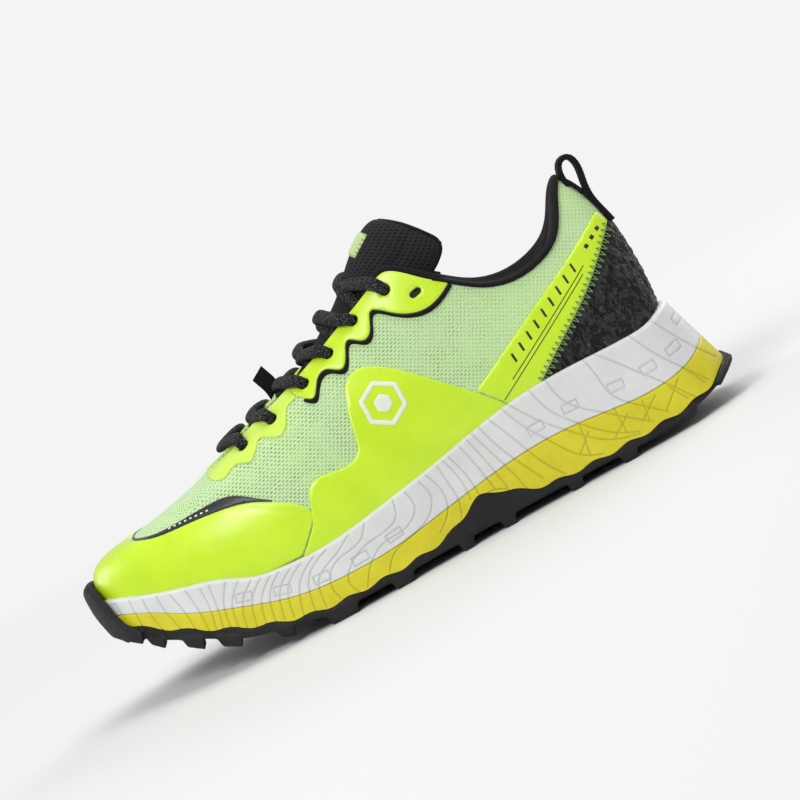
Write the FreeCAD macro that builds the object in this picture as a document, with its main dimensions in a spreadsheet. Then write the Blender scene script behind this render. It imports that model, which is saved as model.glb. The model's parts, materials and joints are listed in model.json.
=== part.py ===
"""Left trail running shoe, in millimetres.

The toe points along -X, the lateral side faces -Y, and the lowest tread rests on z = 0.
The upper is one smooth form: ribs that rise from the foot bed to the edge of the throat
and of the collar. Every cloth, film and foam layer is a panel between two offsets of it.
"""

import math
import os

import FreeCAD
import Part

V = FreeCAD.Vector

# ---------------------------------------------------------------- driving dimensions

SIZES = {
    "mesh_thickness": 1.6,
    "film_thickness": 0.8,
    "film_gap": 0.1,
    "lining_thickness": 0.8,
    "counter_thickness": 1.4,
    "collar_foam": 4.5,
    "board_thickness": 1.4,
    "sockliner_thickness": 4.5,
    "layer_gap": 0.2,
    "pocket_grow": 3.5,
    "lace_diameter": 3.4,
    "lace_gap": 0.35,
    "aglet_length": 22,
    "aglet_radius": 2.1,
    "tongue_thickness": 6.5,
    "tongue_drop": 6.4,
    "tongue_flap_gap": 0.6,
    "label_thickness": 0.6,
    "keeper_width": 8,
    "keeper_height": 12,
    "keeper_thickness": 1.6,
    "loop_width": 11,
    "loop_thickness": 2.6,
    "badge_radius": 10.3,
    "badge_ring": 1.7,
    "badge_thickness": 0.3,
    "binding_width": 1.7,
    "edge_lug_width": 13,
    "lug_draft": 1.2,
    "centre_gap": 5,
    "block_length": 420,
}

doc = FreeCAD.newDocument("running_shoe")
sheet = doc.addObject("Spreadsheet::Sheet", "sizes")
for row, (alias, value) in enumerate(SIZES.items(), start=1):
    sheet.set(f"A{row}", alias)
    sheet.set(f"B{row}", str(value))
    sheet.setAlias(f"B{row}", alias)
doc.recompute()


def size(alias):
    return float(getattr(sheet, alias))


# ---------------------------------------------------------------- the form of the upper

# Ribs from the middle of the toe to the middle of the heel. Each one is a cubic curve:
# foot bed point, lower handle, upper handle and top edge point, as (x, half width, z).
RIBS = [
    [(-142.5, 0, 39), (-151, 0, 78), (-124, 0, 57), (-75, 0, 78.2)],
    [(-136, 16, 37.5), (-144, 19, 74), (-119, 16, 60), (-72, 8, 78.6)],
    [(-117, 31, 32.5), (-122, 36.5, 68), (-101, 26, 66), (-62, 14, 81.3)],
    [(-93, 41, 27.5), (-94, 47.5, 62), (-74, 31, 74), (-48, 16.5, 87)],
    [(-65, 46, 24.5), (-63, 52, 58), (-46, 33, 83), (-33, 17.5, 92)],
    [(-38, 44.7, 24), (-34, 49, 60), (-22, 32, 91), (-14, 18.5, 99.2)],
    [(-14, 40, 25.5), (-10, 44, 60), (-2, 31, 97), (4, 19.5, 107.5)],
    [(8, 35.5, 28), (11, 40.5, 62), (18, 29.5, 101), (21, 20.5, 115.5)],
    [(22, 33.3, 29.5), (25, 39.5, 64), (31, 30, 102), (32, 22.5, 119.3)],
    [(37, 32.2, 31), (39, 39, 62), (42, 30.5, 94), (43, 27, 111)],
    [(52, 31.8, 32.5), (53, 39, 58), (53, 31, 86), (53, 29, 103)],
    [(68, 32, 33.5), (68, 38.5, 56), (66, 32, 78), (64.5, 30, 95)],
    [(84, 32.5, 34.5), (84, 38.7, 55), (80, 32, 74), (79, 29.5, 91.3)],
    [(100, 31.5, 35), (102, 37.6, 56), (97, 30, 76), (94, 26.5, 94)],
    [(113, 26.5, 35.5), (117, 32, 58), (109, 24, 82), (104.5, 19.5, 102)],
    [(122.5, 16, 36), (128, 20, 62), (122, 14, 96), (111, 10.5, 114)],
    [(127, 0, 36), (132.5, 0, 66), (130, 0, 105), (114.5, 0, 119)],
]
LAST = len(RIBS) - 1

# The shoe's middle line on the ground: (x, y), curving in towards the big toe.
MIDDLE = [
    (-151, 8), (-120, 5.5), (-90, 2), (-58, -0.8), (-20, -4), (10, -5), (50, -3.8), (95, -0.8),
    (150, 0),
]


def through(points, closed=False):
    curve = Part.BSplineCurve()
    curve.interpolate(Points=points, PeriodicFlag=closed)
    return curve


class Profile:
    """A smooth height line z(x) through side-view points in order of x."""

    def __init__(self, points):
        self.points = points
        self.curve = through([V(x, 0, z) for x, z in points])

    def __call__(self, x):
        low, high = self.curve.FirstParameter, self.curve.LastParameter
        for _ in range(40):
            half = (low + high) / 2
            if self.curve.value(half).x < x:
                low = half
            else:
                high = half
        return self.curve.value(low).z


middle = Profile(MIDDLE)


def full_ring(row):
    """One row of the ribs as a closed curve: lateral side to the heel, medial side back."""
    lateral = [V(x, -y, z) for x, y, z in (rib[row] for rib in RIBS)]
    medial = [V(p.x, -p.y, p.z) for p in reversed(lateral[1:-1])]
    ring = Part.BSplineCurve()
    ring.interpolate(
        Points=lateral + medial,
        PeriodicFlag=True,
        Parameters=[float(i) for i in range(2 * LAST + 1)],
    )
    return ring


RINGS = [full_ring(row) for row in range(4)]


def form(u, v):
    """A point of the upper's outer face. u counts ribs: 0 toe, 16 heel, 32 toe again."""
    a, b, c, d = (ring.value(u % (2 * LAST)) for ring in RINGS)
    w = 1 - v
    p = a * w**3 + b * (3 * w * w * v) + c * (3 * w * v * v) + d * v**3
    return V(p.x, p.y + middle(p.x), p.z)


def outward(u, v):
    """The unit normal of the form, pointing away from the foot."""
    step = 0.02
    along = form(u + step, v) - form(u - step, v)
    up = form(u, v + step) - form(u, v - step)
    return up.cross(along).normalize() * -1


def offset(u, v, distance):
    return form(u, v) + outward(u, v) * distance


# ---------------------------------------------------------------- solids from surfaces


def span(start, stop, count):
    return [start + (stop - start) * i / (count - 1) for i in range(count)]


def grid_surface(rows):
    surface = Part.BSplineSurface()
    surface.interpolate(rows)
    return surface


def closed_solid(faces):
    shell = Part.makeShell(faces)
    shell.sewShape()
    solid = Part.makeSolid(shell)
    if solid.Volume < 0:
        solid.reverse()
    return solid


def slab_between(outer_rows, inner_rows):
    """A solid with two smooth faces through the grids and ruled sides between them."""
    outer = grid_surface(outer_rows)
    inner = grid_surface(inner_rows)
    faces = [outer.toShape(), inner.toShape()]
    for end in (0, 1):
        for edge_of in ("uIso", "vIso"):
            pair = []
            for surface in (outer, inner):
                bounds = surface.bounds()
                at = bounds[end] if edge_of == "uIso" else bounds[2 + end]
                pair.append(getattr(surface, edge_of)(at).toShape())
            faces.append(Part.makeRuledSurface(*pair))
    return closed_solid(faces)


def panel(u_range, v_range, outer, inner, columns=None, rows=13):
    """A layer of the upper. outer and inner are offsets, each a number or a function of v."""
    columns = columns or int(4 * abs(u_range[1] - u_range[0])) + 4

    def grid(distance):
        depth = distance if callable(distance) else lambda v: distance
        across = span(*v_range, rows)
        return [[offset(u, v, depth(v)) for v in across] for u in span(*u_range, columns)]

    return slab_between(grid(outer), grid(inner))


def outline_wire(runs, y):
    """A closed side-view wire. Each run is a list of (x, z): two are a line, more a curve."""
    edges = []
    for run in runs:
        points = [V(x, y, z) for x, z in run]
        if len(points) == 2:
            edges.append(Part.LineSegment(*points).toShape())
        else:
            edges.append(through(points).toShape())
    return Part.Wire(edges)


def prism(runs, y_from, y_to):
    """The side-view outline as a solid that reaches from y_from to y_to."""
    return Part.Face(outline_wire(runs, y_from)).extrude(V(0, y_to - y_from, 0))


def polygon(*points):
    """Straight runs through the points and back to the first one."""
    return [[a, b] for a, b in zip(points, points[1:] + points[:1])]


def closed_by(curve, *corners):
    """A smooth run, closed by straight runs through the corners."""
    stops = [curve[-1], *corners, curve[0]]
    return [curve] + [[a, b] for a, b in zip(stops, stops[1:])]


def between(lower, upper):
    """The runs of the band between two height lines that start and end at the same x."""
    low, high = lower.points, upper.points
    return [low, [low[-1], high[-1]], high[::-1], [high[0], low[0]]]


def plan_solid(points, bottom, top):
    """A straight-sided block with a smooth plan outline through (x, y)."""
    wire = Part.Wire(through([V(x, y, bottom) for x, y in points], closed=True).toShape())
    return Part.Face(wire).extrude(V(0, 0, top - bottom))


def plan_ring(half_widths):
    """The closed plan outline from (x, half width) pairs, toe first."""
    lateral = [(x, middle(x) - y) for x, y in half_widths]
    medial = [(x, middle(x) + y) for x, y in reversed(half_widths[1:-1])]
    return lateral + medial


def foot_ring(grow):
    """The plan outline of the foot bed, grown outward."""
    points = []
    for u in span(0, 2 * LAST, 2 * LAST + 1)[:-1]:
        normal = outward(u, 0)
        flat = V(normal.x, normal.y, 0).normalize()
        spot = form(u, 0) + flat * grow
        points.append((spot.x, spot.y))
    return points


nodes = []

# The design lines are drawn from the arch; this carries every piece to the frame's origin, which
# lies under the middle of the whole shoe.
CENTRING = FreeCAD.Placement(V(2.25, 0.95, 0), FreeCAD.Rotation())


def node(label, shape):
    """A free-form sub-part of the document, kept under its own label."""
    feature = doc.addObject("Part::Feature", label)
    feature.Label = label
    feature.Shape = shape
    feature.Placement = CENTRING
    nodes.append(feature)
    return feature


# ---------------------------------------------------------------- the sole

TREAD_HALVES = [
    (-151, 0), (-147.5, 15), (-137, 28.5), (-120, 39), (-100, 46.8), (-80, 51), (-58, 53.5),
    (-38, 51.5), (-14, 46.5), (8, 42), (30, 39.5), (52, 39), (75, 40), (98, 41), (116, 38.5),
    (131, 32.5), (142.5, 22), (148, 10.5), (149.5, 0),
]
RIM_HALVES = [
    (-146, 0), (-142.5, 14), (-133, 26), (-118, 36.6), (-96, 45.2), (-78, 48.8), (-58, 50.5), (-38, 49),
    (-14, 44.3), (8, 40.2), (30, 37.6), (52, 37), (75, 37.5), (95, 37.3), (108, 34), (119.5, 26.5),
    (127.5, 16), (130.8, 7.5), (131.8, 0),
]
RIM_LEVEL = 52.0

ENDS = (-165, 165)


def height_line(*points):
    """A height line that carries on level to both ends of the block."""
    return Profile([(ENDS[0], points[0][1]), *points, (ENDS[1], points[-1][1])])


under_tread = height_line(
    (-150, 40), (-137, 31), (-120, 22.5), (-106, 17), (-92, 11), (-81, 8.5), (-60, 4.6), (-41, 3.7),
    (0, 3.9), (44, 3.7), (92, 3.5), (108, 3.8), (123, 6.5), (136, 9.8), (149, 16.5),
)
wave_length = 16.7
wave_height = 0.7


def tread_top_points():
    """The top of the rubber: a gentle swell at the waist with small waves along it."""
    base = Profile([
        (-165, 47), (-150, 43), (-137, 36.5), (-118, 27), (-96, 17.6), (-78, 11.6), (-60, 8), (-40, 7),
        (-16, 7.2), (0, 8.9), (12, 13.4), (23, 17.3), (34, 13.4), (46, 8.6), (60, 7), (90, 7), (112, 8),
        (130, 10.6), (142, 15.5), (150, 21), (165, 24),
    ])
    count = int((ENDS[1] - ENDS[0]) / (wave_length / 4)) + 2
    points = []
    for x in span(ENDS[0], ENDS[1], count):
        points.append((x, base(x) + wave_height * math.sin(2 * math.pi * x / wave_length)))
    return points


tread_top = Profile(tread_top_points())
lower_top = height_line(
    (-140, 42), (-124, 37.5), (-108, 30.5), (-90, 24.7), (-70, 19), (-50, 16.2), (-35, 15.8),
    (-20, 16.2), (0, 18.6), (20, 21.5), (40, 24), (60, 25), (80, 23.8), (100, 21.8), (115, 22),
    (130, 25), (141, 29.5),
)
rim_top = height_line(
    (-141, 49), (-124, 45), (-105, 41), (-90, 37.5), (-78, 32.8), (-65, 31), (-50, 30.3), (-30, 31.8),
    (-10, 34.8), (10, 38), (30, 42), (50, 45.4), (75, 47), (90, 46.7), (110, 46), (120, 46.3),
    (130, 48.7),
)
foot_bed = height_line(*[(rib[0][0], rib[0][2]) for rib in RIBS if rib[0][1] > 10])

WIDE = (-80, 80)


def band_solid(lower, upper):
    return prism(between(lower, upper), *WIDE)


def flared_block():
    """The midsole before it is cut into layers: wide at the tread, narrower at the rim."""
    rings = []
    for halves, level in ((TREAD_HALVES, 0), (RIM_HALVES, RIM_LEVEL)):
        ring = [V(x, y, level) for x, y in plan_ring(halves)]
        rings.append(Part.Wire(through(ring, closed=True).toShape()))
    return Part.makeLoft(rings, True, True)


block = flared_block()
under_rim = band_solid(tread_top, rim_top)
pocket = plan_solid(foot_ring(size("pocket_grow")), 20, 90)


def lifted(profile, rise):
    return Profile([(x, z + rise) for x, z in profile.points])


above_foot_bed = band_solid(lifted(foot_bed, -0.2), lifted(foot_bed, 60))

# Lug spans along the edge of the tread, and the inner ones between them: (start, end) in x.
EDGE_LUGS = [
    (-147, -139), (-132, -124.5), (-118, -109), (-104, -94), (-80, -72), (-58.5, -43.5), (-28, -17),
    (4, 12), (24, 32), (56, 64), (81, 90), (113, 121), (133, 146.5),
]
INNER_LUGS = [
    (-127, -119), (-111, -102), (-92, -83), (-70, -61), (-52, -43), (-35, -26), (-10, -1.5), (18, 24),
    (46, 54), (70.5, 79.5), (97, 105), (122, 130),
]
tread_line = height_line(
    (-147, 34), (-139, 29.2), (-124.5, 21), (-109, 14), (-94, 8.5), (-80, 4.8), (-70, 2.4), (-60, 0.2),
)


def lug_bottom(x):
    """The tread lies flat from the ball to the heel and curls up at both ends."""
    if x < -59:
        return tread_line(x)
    if x > 92:
        return 14.2 * ((x - 92) / 55) ** 1.9
    return 0.0


def lug_prism(start, end, y_from, y_to):
    """A lug bar across the tread, wider at its root than at its foot."""
    draft = size("lug_draft")
    bottom = [(start + draft, lug_bottom(start)), (end - draft, lug_bottom(end))]
    top = [(end, under_tread(end) + 1.5), (start, under_tread(start) + 1.5)]
    return prism(polygon(*bottom, *top), y_from, y_to)


def toe_core():
    """The closed toe of the upper with its film, which the bumper fits round."""
    heart = V(-100, middle(-100), 45)
    outer = [[offset(u, v, 1.2) for v in span(0, 0.7, 9)] for u in span(-3, 3, 19)]
    inner = [[p + (heart - p) * 0.6 for p in row] for row in outer]
    return slab_between(outer, inner)


BALL_HALF_WIDTH = 46
TREAD_SPAN = (-5, 62)
BUMPER = closed_by(
    [
        (-148.8, 57.4), (-146.5, 58.2), (-143.5, 58), (-142.6, 55), (-141.2, 50), (-140, 44),
        (-137.5, 38), (-132, 32),
    ],
    (-134, 26.5), (-146.5, 33.5), (-150.5, 44), (-151.2, 54),
)
# The bumper from the front, as (y, z): a dome over the middle of the toe.
DOME_CENTRE = 7.5
DOME_HALF = [(36, 30), (30.5, 38), (26, 44), (22, 49), (17.5, 53.2), (12, 56.2), (6, 57.9)]
DOME_FOOT = -10
DOME_REACH = (100, 200)


def bumper_dome():
    """The dome carried along the shoe, over the whole of the bumper."""
    left = [(DOME_CENTRE - half, z) for half, z in DOME_HALF]
    right = [(DOME_CENTRE + half, z) for half, z in reversed(DOME_HALF)]
    curve = left + [(DOME_CENTRE, 58.4)] + right
    solid = prism(closed_by(curve, (right[-1][0], DOME_FOOT), (left[0][0], DOME_FOOT)), *DOME_REACH)
    solid.rotate(V(0, 0, 0), V(0, 0, 1), 90)
    return solid


def outsole():
    """Rubber tread with its lugs, and the bumper that wraps up over the toe."""
    slab = block.common(band_solid(under_tread, tread_top))
    plan = plan_ring(TREAD_HALVES)
    edge_share = 1 - size("edge_lug_width") / BALL_HALF_WIDTH
    inner = plan_solid([(x * 0.91, y * edge_share) for x, y in plan], *TREAD_SPAN)
    core = plan_solid([(x * 0.88, y * 0.55) for x, y in plan], *TREAD_SPAN)
    tread_block = plan_solid(plan, *TREAD_SPAN)
    edge_zone = tread_block.cut(inner)
    gap = size("centre_gap")
    split = Part.makeBox(size("block_length"), gap, 90, V(-size("block_length") / 2, -gap / 2 - 2, -10))
    core = core.cut(split)
    edge_bars = Part.makeCompound([lug_prism(a, b, *WIDE) for a, b in EDGE_LUGS])
    inner_bars = Part.makeCompound([lug_prism(a, b, *WIDE) for a, b in INNER_LUGS])
    bumper = tread_block.common(prism(BUMPER, *WIDE)).common(bumper_dome())
    bumper = bumper.cut([toe_core(), block.common(under_rim)])
    pieces = [edge_bars.common(edge_zone), inner_bars.common(core), bumper]
    return slab.fuse(pieces).removeSplitter()


node("outsole", outsole())
foot_well = pocket.common(above_foot_bed)
node("midsole_lower", block.common(band_solid(tread_top, lower_top)).cut(foot_well))
node("midsole_upper", block.common(band_solid(lower_top, rim_top)).cut(foot_well))

board_top = lifted(foot_bed, size("board_thickness"))
liner_bottom = lifted(foot_bed, size("board_thickness") + size("layer_gap"))
liner_top = lifted(liner_bottom, size("sockliner_thickness"))
node("strobel_board", plan_solid(foot_ring(-2.4), 10, 80).common(band_solid(foot_bed, board_top)))
node("sockliner", plan_solid(foot_ring(-4.6), 10, 80).common(band_solid(liner_bottom, liner_top)))

# ---------------------------------------------------------------- layers of the upper

SKIN = size("mesh_thickness")
GAP = size("layer_gap")
FILM = size("film_thickness")
FILM_GAP = size("film_gap")
HEEL = LAST
TOE_END = 2 * LAST
VAMP_RIB = 3.6
COLLAR_RIB = 9.5
RIM_START = 0.965


def swell(v):
    """The collar foam's thickness up the wall: none low down, full near the ankle, thin at the rim."""
    rise = min(max((v - 0.34) / 0.3, 0), 1)
    fall = min(max((1 - v) / 0.25, 0), 1)
    return (3 * rise**2 - 2 * rise**3) * (0.35 + 0.65 * math.sin(fall * math.pi / 2))


def foam_inside(v):
    return -(SKIN + GAP + size("counter_thickness") + GAP + size("collar_foam") * swell(v))


def lining_outside(v):
    return foam_inside(v) - GAP


def lining_inside(v):
    return lining_outside(v) - size("lining_thickness")


SIDES = {
    "lateral": lambda a, b: (a, b),
    "medial": lambda a, b: (TOE_END - b, TOE_END - a),
}


def film(u_range, v_range, inner=FILM_GAP, outer=FILM_GAP + FILM):
    return panel(u_range, v_range, outer, inner)


def toward(side):
    """The y span of a side's prisms."""
    return (-80, 2) if side == "lateral" else (-2, 80)


# Side-view outlines of the film overlays.
TOE_CAP_EDGE = [
    (-119, 66.5), (-108, 64.4), (-95, 63.8), (-75, 62.5), (-66, 60.8), (-55, 56), (-46, 50),
    (-43, 45.5), (-46, 40), (-55, 31),
]
STRIPE_TOP = [(-119.5, 68.2), (-108, 66.6), (-95, 66.3), (-80, 67), (-71, 66.4), (-62, 61.6), (-54.2, 56.4)]
SIDE_OVERLAY_EDGE = [
    (-42.7, 46.6), (-38, 55.3), (-28, 55.9), (-20, 55), (-15, 57.5), (-12, 67), (-9, 78), (-5, 85.5),
    (1, 88), (8, 86), (20, 77), (32, 65), (41, 56), (50, 46),
]
STRAP_TOP = [(41.4, 56.6), (60, 66), (80, 76), (100, 85.5), (123, 97.5)]
STRAP_BOTTOM = [(126, 91.5), (110, 77), (97, 67), (82, 57), (66, 45.5)]
LOWER_EYESTAY_EDGE = [
    (-77, 76.6), (-70, 73.2), (-62, 76), (-57, 74.5), (-52, 77.5), (-48.5, 81), (-41, 78.3),
    (-36, 80.5), (-32, 87), (-26, 89),
]
UPPER_EYESTAY_EDGE = [
    (-27, 90.6), (-20, 85.6), (-14.5, 92), (-10, 93.5), (-4, 90.6), (0, 94.5), (4, 100), (10, 96.8),
    (14, 99), (18.5, 106.3), (24, 103), (31, 98.3), (39, 96.5), (46, 98), (53, 101.8),
]


def over_edge(edge, ceiling):
    """Everything in the side view above an edge line."""
    return closed_by(edge, (edge[-1][0], ceiling), (edge[0][0], ceiling))


def largest(shape):
    """The main solid of a cut, without the slivers beside it."""
    return max(shape.Solids, key=lambda solid: solid.Volume)


def mesh_panels():
    shapes = {"mesh_vamp": panel((-VAMP_RIB, VAMP_RIB), (0, 1), 0, -SKIN)}
    for side, order in SIDES.items():
        shapes[f"mesh_quarter_{side}"] = panel(order(VAMP_RIB + 0.02, HEEL), (0, RIM_START), 0, -SKIN)
    return shapes


def collar_lining(side):
    order = SIDES[side]
    return panel(order(COLLAR_RIB, HEEL), (0.04, 0.96), lining_outside, lining_inside, rows=17)


def collar_binding(side):
    """The rolled cloth edge that closes the collar over its foam."""
    order = SIDES[side]
    return panel(order(COLLAR_RIB, HEEL), (RIM_START + 0.004, 1), 0, lining_outside, rows=4)


def collar_foam(side):
    order = SIDES[side]
    start = -(SKIN + GAP + size("counter_thickness") + GAP)
    return panel(order(COLLAR_RIB + 0.1, HEEL - 0.1), (0.46, 0.955), start, foam_inside, rows=9)


def overlays():
    """The welded films, cut from thin layers of the form by their side-view outlines."""
    shapes = {}
    toe_film = film((-6.4, 6.4), (0.06, 0.985))
    shapes["toe_cap"] = toe_film.common(prism(closed_by(TOE_CAP_EDGE, (-160, 31), (-160, 66.5)), *WIDE))
    cap_reverse = [(-119, 66.7)] + [(x + 0.1, z + 0.2) for x, z in TOE_CAP_EDGE[1:6]]
    back_end = [STRIPE_TOP[-1], cap_reverse[-1]]
    front_end = [cap_reverse[0], STRIPE_TOP[0]]
    stripe = [STRIPE_TOP, back_end, cap_reverse[::-1], front_end]
    shapes["toe_stripe"] = toe_film.common(prism(stripe, *WIDE))
    under_strap = [(x, z - 0.2) for x, z in STRAP_BOTTOM[::-1]]
    heel_outline = closed_by(under_strap, (140, 91.3), (140, 30), (66.3, 30))
    heel_film = film((HEEL - 5.5, HEEL + 5.5), (0.04, 0.93))
    shapes["heel_panel"] = heel_film.common(prism(heel_outline, *WIDE))
    for side, order in SIDES.items():
        y_span = toward(side)
        flank = film(order(2.5, 12.5), (0.04, 0.96))
        shapes[f"side_overlay_{side}"] = flank.common(
            prism(closed_by(SIDE_OVERLAY_EDGE, (50, 20), (-66, 20), (-54.3, 31), (-45.4, 40)), *y_span)
        )
        strap_end = polygon(STRAP_BOTTOM[-1], (66, 20), (50.3, 20), (50.3, 46), STRAP_TOP[0])[:-1]
        strap = [STRAP_TOP, [STRAP_TOP[-1], STRAP_BOTTOM[0]], STRAP_BOTTOM, *strap_end]
        shapes[f"heel_strap_{side}"] = film(order(8, 15.97), (0.04, 0.93)).common(prism(strap, *y_span))
        stay = film(order(0.6, 10.4), (0.55, RIM_START))
        lower = stay.common(prism(over_edge(LOWER_EYESTAY_EDGE, 130), *y_span))
        upper_zone = prism(over_edge(UPPER_EYESTAY_EDGE, 135), *y_span)
        drop = size("binding_width")
        lowered = [(x + 0.3, z - drop) for x, z in UPPER_EYESTAY_EDGE]
        bound_zone = prism(over_edge(lowered, 134), *y_span)
        shapes[f"eyestay_lower_{side}"] = lower.cut([upper_zone, bound_zone])
        shapes[f"eyestay_upper_{side}"] = stay.common(upper_zone)
        shapes[f"eyestay_binding_{side}"] = stay.common(bound_zone).cut(upper_zone)
    return shapes


# ---------------------------------------------------------------- the lace and its eyelets

EYELETS = [(-56, 81), (-40, 85.4), (-21, 92.3), (-6, 98.8), (9.5, 106.3), (27.5, 111.5)]
SPARE_EYELET = (38.3, 104.5)
CROSSINGS = [(-51, 87.5), (-34, 95), (-20, 104), (-5, 114), (9, 124)]
TOE_BAR = (-69, 83.2)
LACE_RADIUS = size("lace_diameter") / 2
LIFT = FILM_GAP + FILM + size("lace_gap") + LACE_RADIUS
SINK = -(SKIN + size("lace_gap") + LACE_RADIUS)


def on_form(x, z, low=0.2, high=15.8):
    """The lateral (u, v) whose point shows at (x, z) in the side view."""
    best = None
    for u in span(low, high, 40):
        for v in span(0.3, 0.98, 18):
            p = form(u, v)
            miss = (p.x - x) ** 2 + (p.z - z) ** 2
            if best is None or miss < best[0]:
                best = (miss, u, v)
    _, u, v = best
    for _ in range(8):
        p = form(u, v)
        du = (form(u + 0.01, v) - p) * 100
        dv = (form(u, v + 0.01) - p) * 100
        det = du.x * dv.z - du.z * dv.x
        ex, ez = x - p.x, z - p.z
        u += (ex * dv.z - ez * dv.x) / det
        v += (du.x * ez - du.z * ex) / det
    return u, v


EYELET_SPOTS = [on_form(x, z) for x, z in EYELETS]


def to_side(u, side):
    return u if side == "lateral" else TOE_END - u


def eyelet_cutter(u, v, radius):
    """A short drill along the surface normal, through every layer at the eyelet."""
    axis = outward(u, v)
    return Part.makeCylinder(radius, 12, form(u, v) - axis * 5, axis)


def lace_end(first_side, over):
    """The points of one end of the lace, from beside the toe bar to its tip."""
    other = {"lateral": "medial", "medial": "lateral"}
    side = first_side
    points = []
    for i, (u, v) in enumerate(EYELET_SPOTS):
        near = to_side(u - 0.35, side)
        at = to_side(u, side)
        past = to_side(u + 0.2, side)
        points.append(offset(near, min(v + 0.1, 0.98), LIFT + 0.6))
        points.append(offset(at, v, LIFT))
        points.append(offset(at, v, SINK - 0.6))
        if i < len(CROSSINGS):
            points.append(offset(past, 0.97, SINK - 0.4))
            x, z = CROSSINGS[i]
            points.append(V(x, middle(x), z + over))
            side = other[side]
    u, v = EYELET_SPOTS[-1]
    for down, deep in ((0.09, 0.6), (0.22, 1.8), (0.36, 3.4)):
        points.append(offset(to_side(u + 0.15 + down, side), v - down, SINK - deep))
    return points


def rounded_wire(points):
    """Straight runs joined by tangent arcs, and the smallest arc radius."""
    edges = []
    start = points[0]
    smallest = 1e9
    for before, corner, after in zip(points, points[1:], points[2:]):
        back = before - corner
        ahead = after - corner
        turn = math.pi - back.getAngle(ahead)
        reach = 0.45 * min(back.Length, ahead.Length)
        radius = reach / math.tan(turn / 2)
        smallest = min(smallest, radius)
        back.normalize()
        ahead.normalize()
        enter = corner + back * reach
        leave = corner + ahead * reach
        bisector = (back + ahead).normalize()
        centre = corner + bisector * (radius / math.cos(turn / 2))
        middle_point = centre + (corner - centre).normalize() * radius
        edges.append(Part.LineSegment(start, enter).toShape())
        edges.append(Part.Arc(enter, middle_point, leave).toShape())
        start = leave
    edges.append(Part.LineSegment(start, points[-1]).toShape())
    return Part.Wire(edges), smallest


def tube(points, radius):
    wire, smallest = rounded_wire(points)
    direction = (points[1] - points[0]).normalize()
    section = Part.Wire(Part.makeCircle(radius, points[0], direction))
    return wire.makePipeShell([section], True, False), wire.Length, smallest


def lace_points():
    x, z = TOE_BAR
    one = lace_end("lateral", over=2.2)
    two = lace_end("medial", over=-2.2)
    return one[::-1] + [V(x, middle(x), z)] + two


# ---------------------------------------------------------------- the tongue

# The tongue's root and its free top: middle (x, z), then shoulder and edge as (x, half width, z).
TONGUE_ROOT = [
    ((-82, 68), (-83.5, 8, 67.4), (-88, 15, 64.5)),
    ((-67, 73), (-68, 9, 71.5), (-74, 19, 68)),
]
# Between them, its middle line (x, z) with the rib whose wall it lies under.
TONGUE_LINE = [
    (-50, 81, 2.9), (-35, 89, 3.7), (-20, 97.5, 4.6), (-5, 107.5, 5.5), (9, 117.5, 6.5), (20, 128, 7.5),
]
TONGUE_TOP = [
    ((29, 135.2), (38, 14.5, 125), (50, 19.5, 109.5)),
    ((35.5, 138.5), (44.5, 15, 129.5), (56, 20, 114.5)),
    ((39, 139.3), (47.5, 14.5, 132), (59, 19, 118)),
]


# The fold runs across the tongue at the pivot, level with these two side-view points.
FOLD_FRONT = (13.5, 122.5)
FOLD_BACK = (75, 98.7)
FACE_ROWS = 27
FACE_COLUMNS = 13
LABEL_ROWS = slice(22, 26)
LABEL_COLUMNS = slice(5, 8)


def free_row(middle_at, shoulder, edge):
    """A row of the tongue from its middle, shoulder and edge points."""
    (x, z), (sx, sy, sz), (ex, ey, ez) = middle_at, shoulder, edge
    return [
        V(ex, middle(ex) - ey, ez), V(sx, middle(sx) - sy, sz), V(x, middle(x), z),
        V(sx, middle(sx) + sy, sz), V(ex, middle(ex) + ey, ez),
    ]


def tongue_rows():
    """Rows of points across the tongue's outer face, from its root to its top."""
    drop = -size("tongue_drop")
    rows = [free_row(*station) for station in TONGUE_ROOT]
    for x, z, u in TONGUE_LINE:
        middle_point = V(x, middle(x), z)
        sides = {}
        for side in SIDES:
            at = to_side(u, side)
            sides[side] = (offset(at, 0.8, drop), offset(at, 0.97, drop))
        (edge_l, shoulder_l), (edge_m, shoulder_m) = sides["lateral"], sides["medial"]
        rows.append([edge_l, shoulder_l, middle_point, shoulder_m, edge_m])
    return rows + [free_row(*station) for station in TONGUE_TOP]


def evenly(rows, along, across):
    """The rows' smooth surface as an even grid of points."""
    columns = [through(list(column)).discretize(Number=along) for column in zip(*rows)]
    return [through(list(row)).discretize(Number=across) for row in zip(*columns)]


def deeper(grid, depth):
    """The grid's points moved square to its surface, inward for a positive depth."""
    last_row, last_column = len(grid) - 1, len(grid[0]) - 1
    moved = []
    for i, row in enumerate(grid):
        line = []
        for j, point in enumerate(row):
            along = grid[min(i + 1, last_row)][j] - grid[max(i - 1, 0)][j]
            across = row[min(j + 1, last_column)] - row[max(j - 1, 0)]
            line.append(point + along.cross(across).normalize() * depth * -1)
        moved.append(line)
    return moved


def tongue_shapes():
    """The padded tongue below the throat, and its free top that hinges forward."""
    face = evenly(tongue_rows(), FACE_ROWS, FACE_COLUMNS)
    gap = size("tongue_flap_gap")
    pad = slab_between(face, deeper(face, size("tongue_thickness")))
    (front_x, front_z), (back_x, back_z) = FOLD_FRONT, FOLD_BACK
    below = polygon((-100, 40), (back_x, 40), FOLD_BACK, FOLD_FRONT, (-100, front_z))
    above = polygon((front_x, front_z + gap), (back_x, back_z + gap), (90, 165), (0, 165))
    patch = [row[LABEL_COLUMNS] for row in face[LABEL_ROWS]]
    label = slab_between(deeper(patch, -0.1 - size("label_thickness")), deeper(patch, -0.1))
    return pad.common(prism(below, *WIDE)), pad.common(prism(above, *WIDE)), label


BADGE_CENTRE = (4.5, 70.5)


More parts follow.
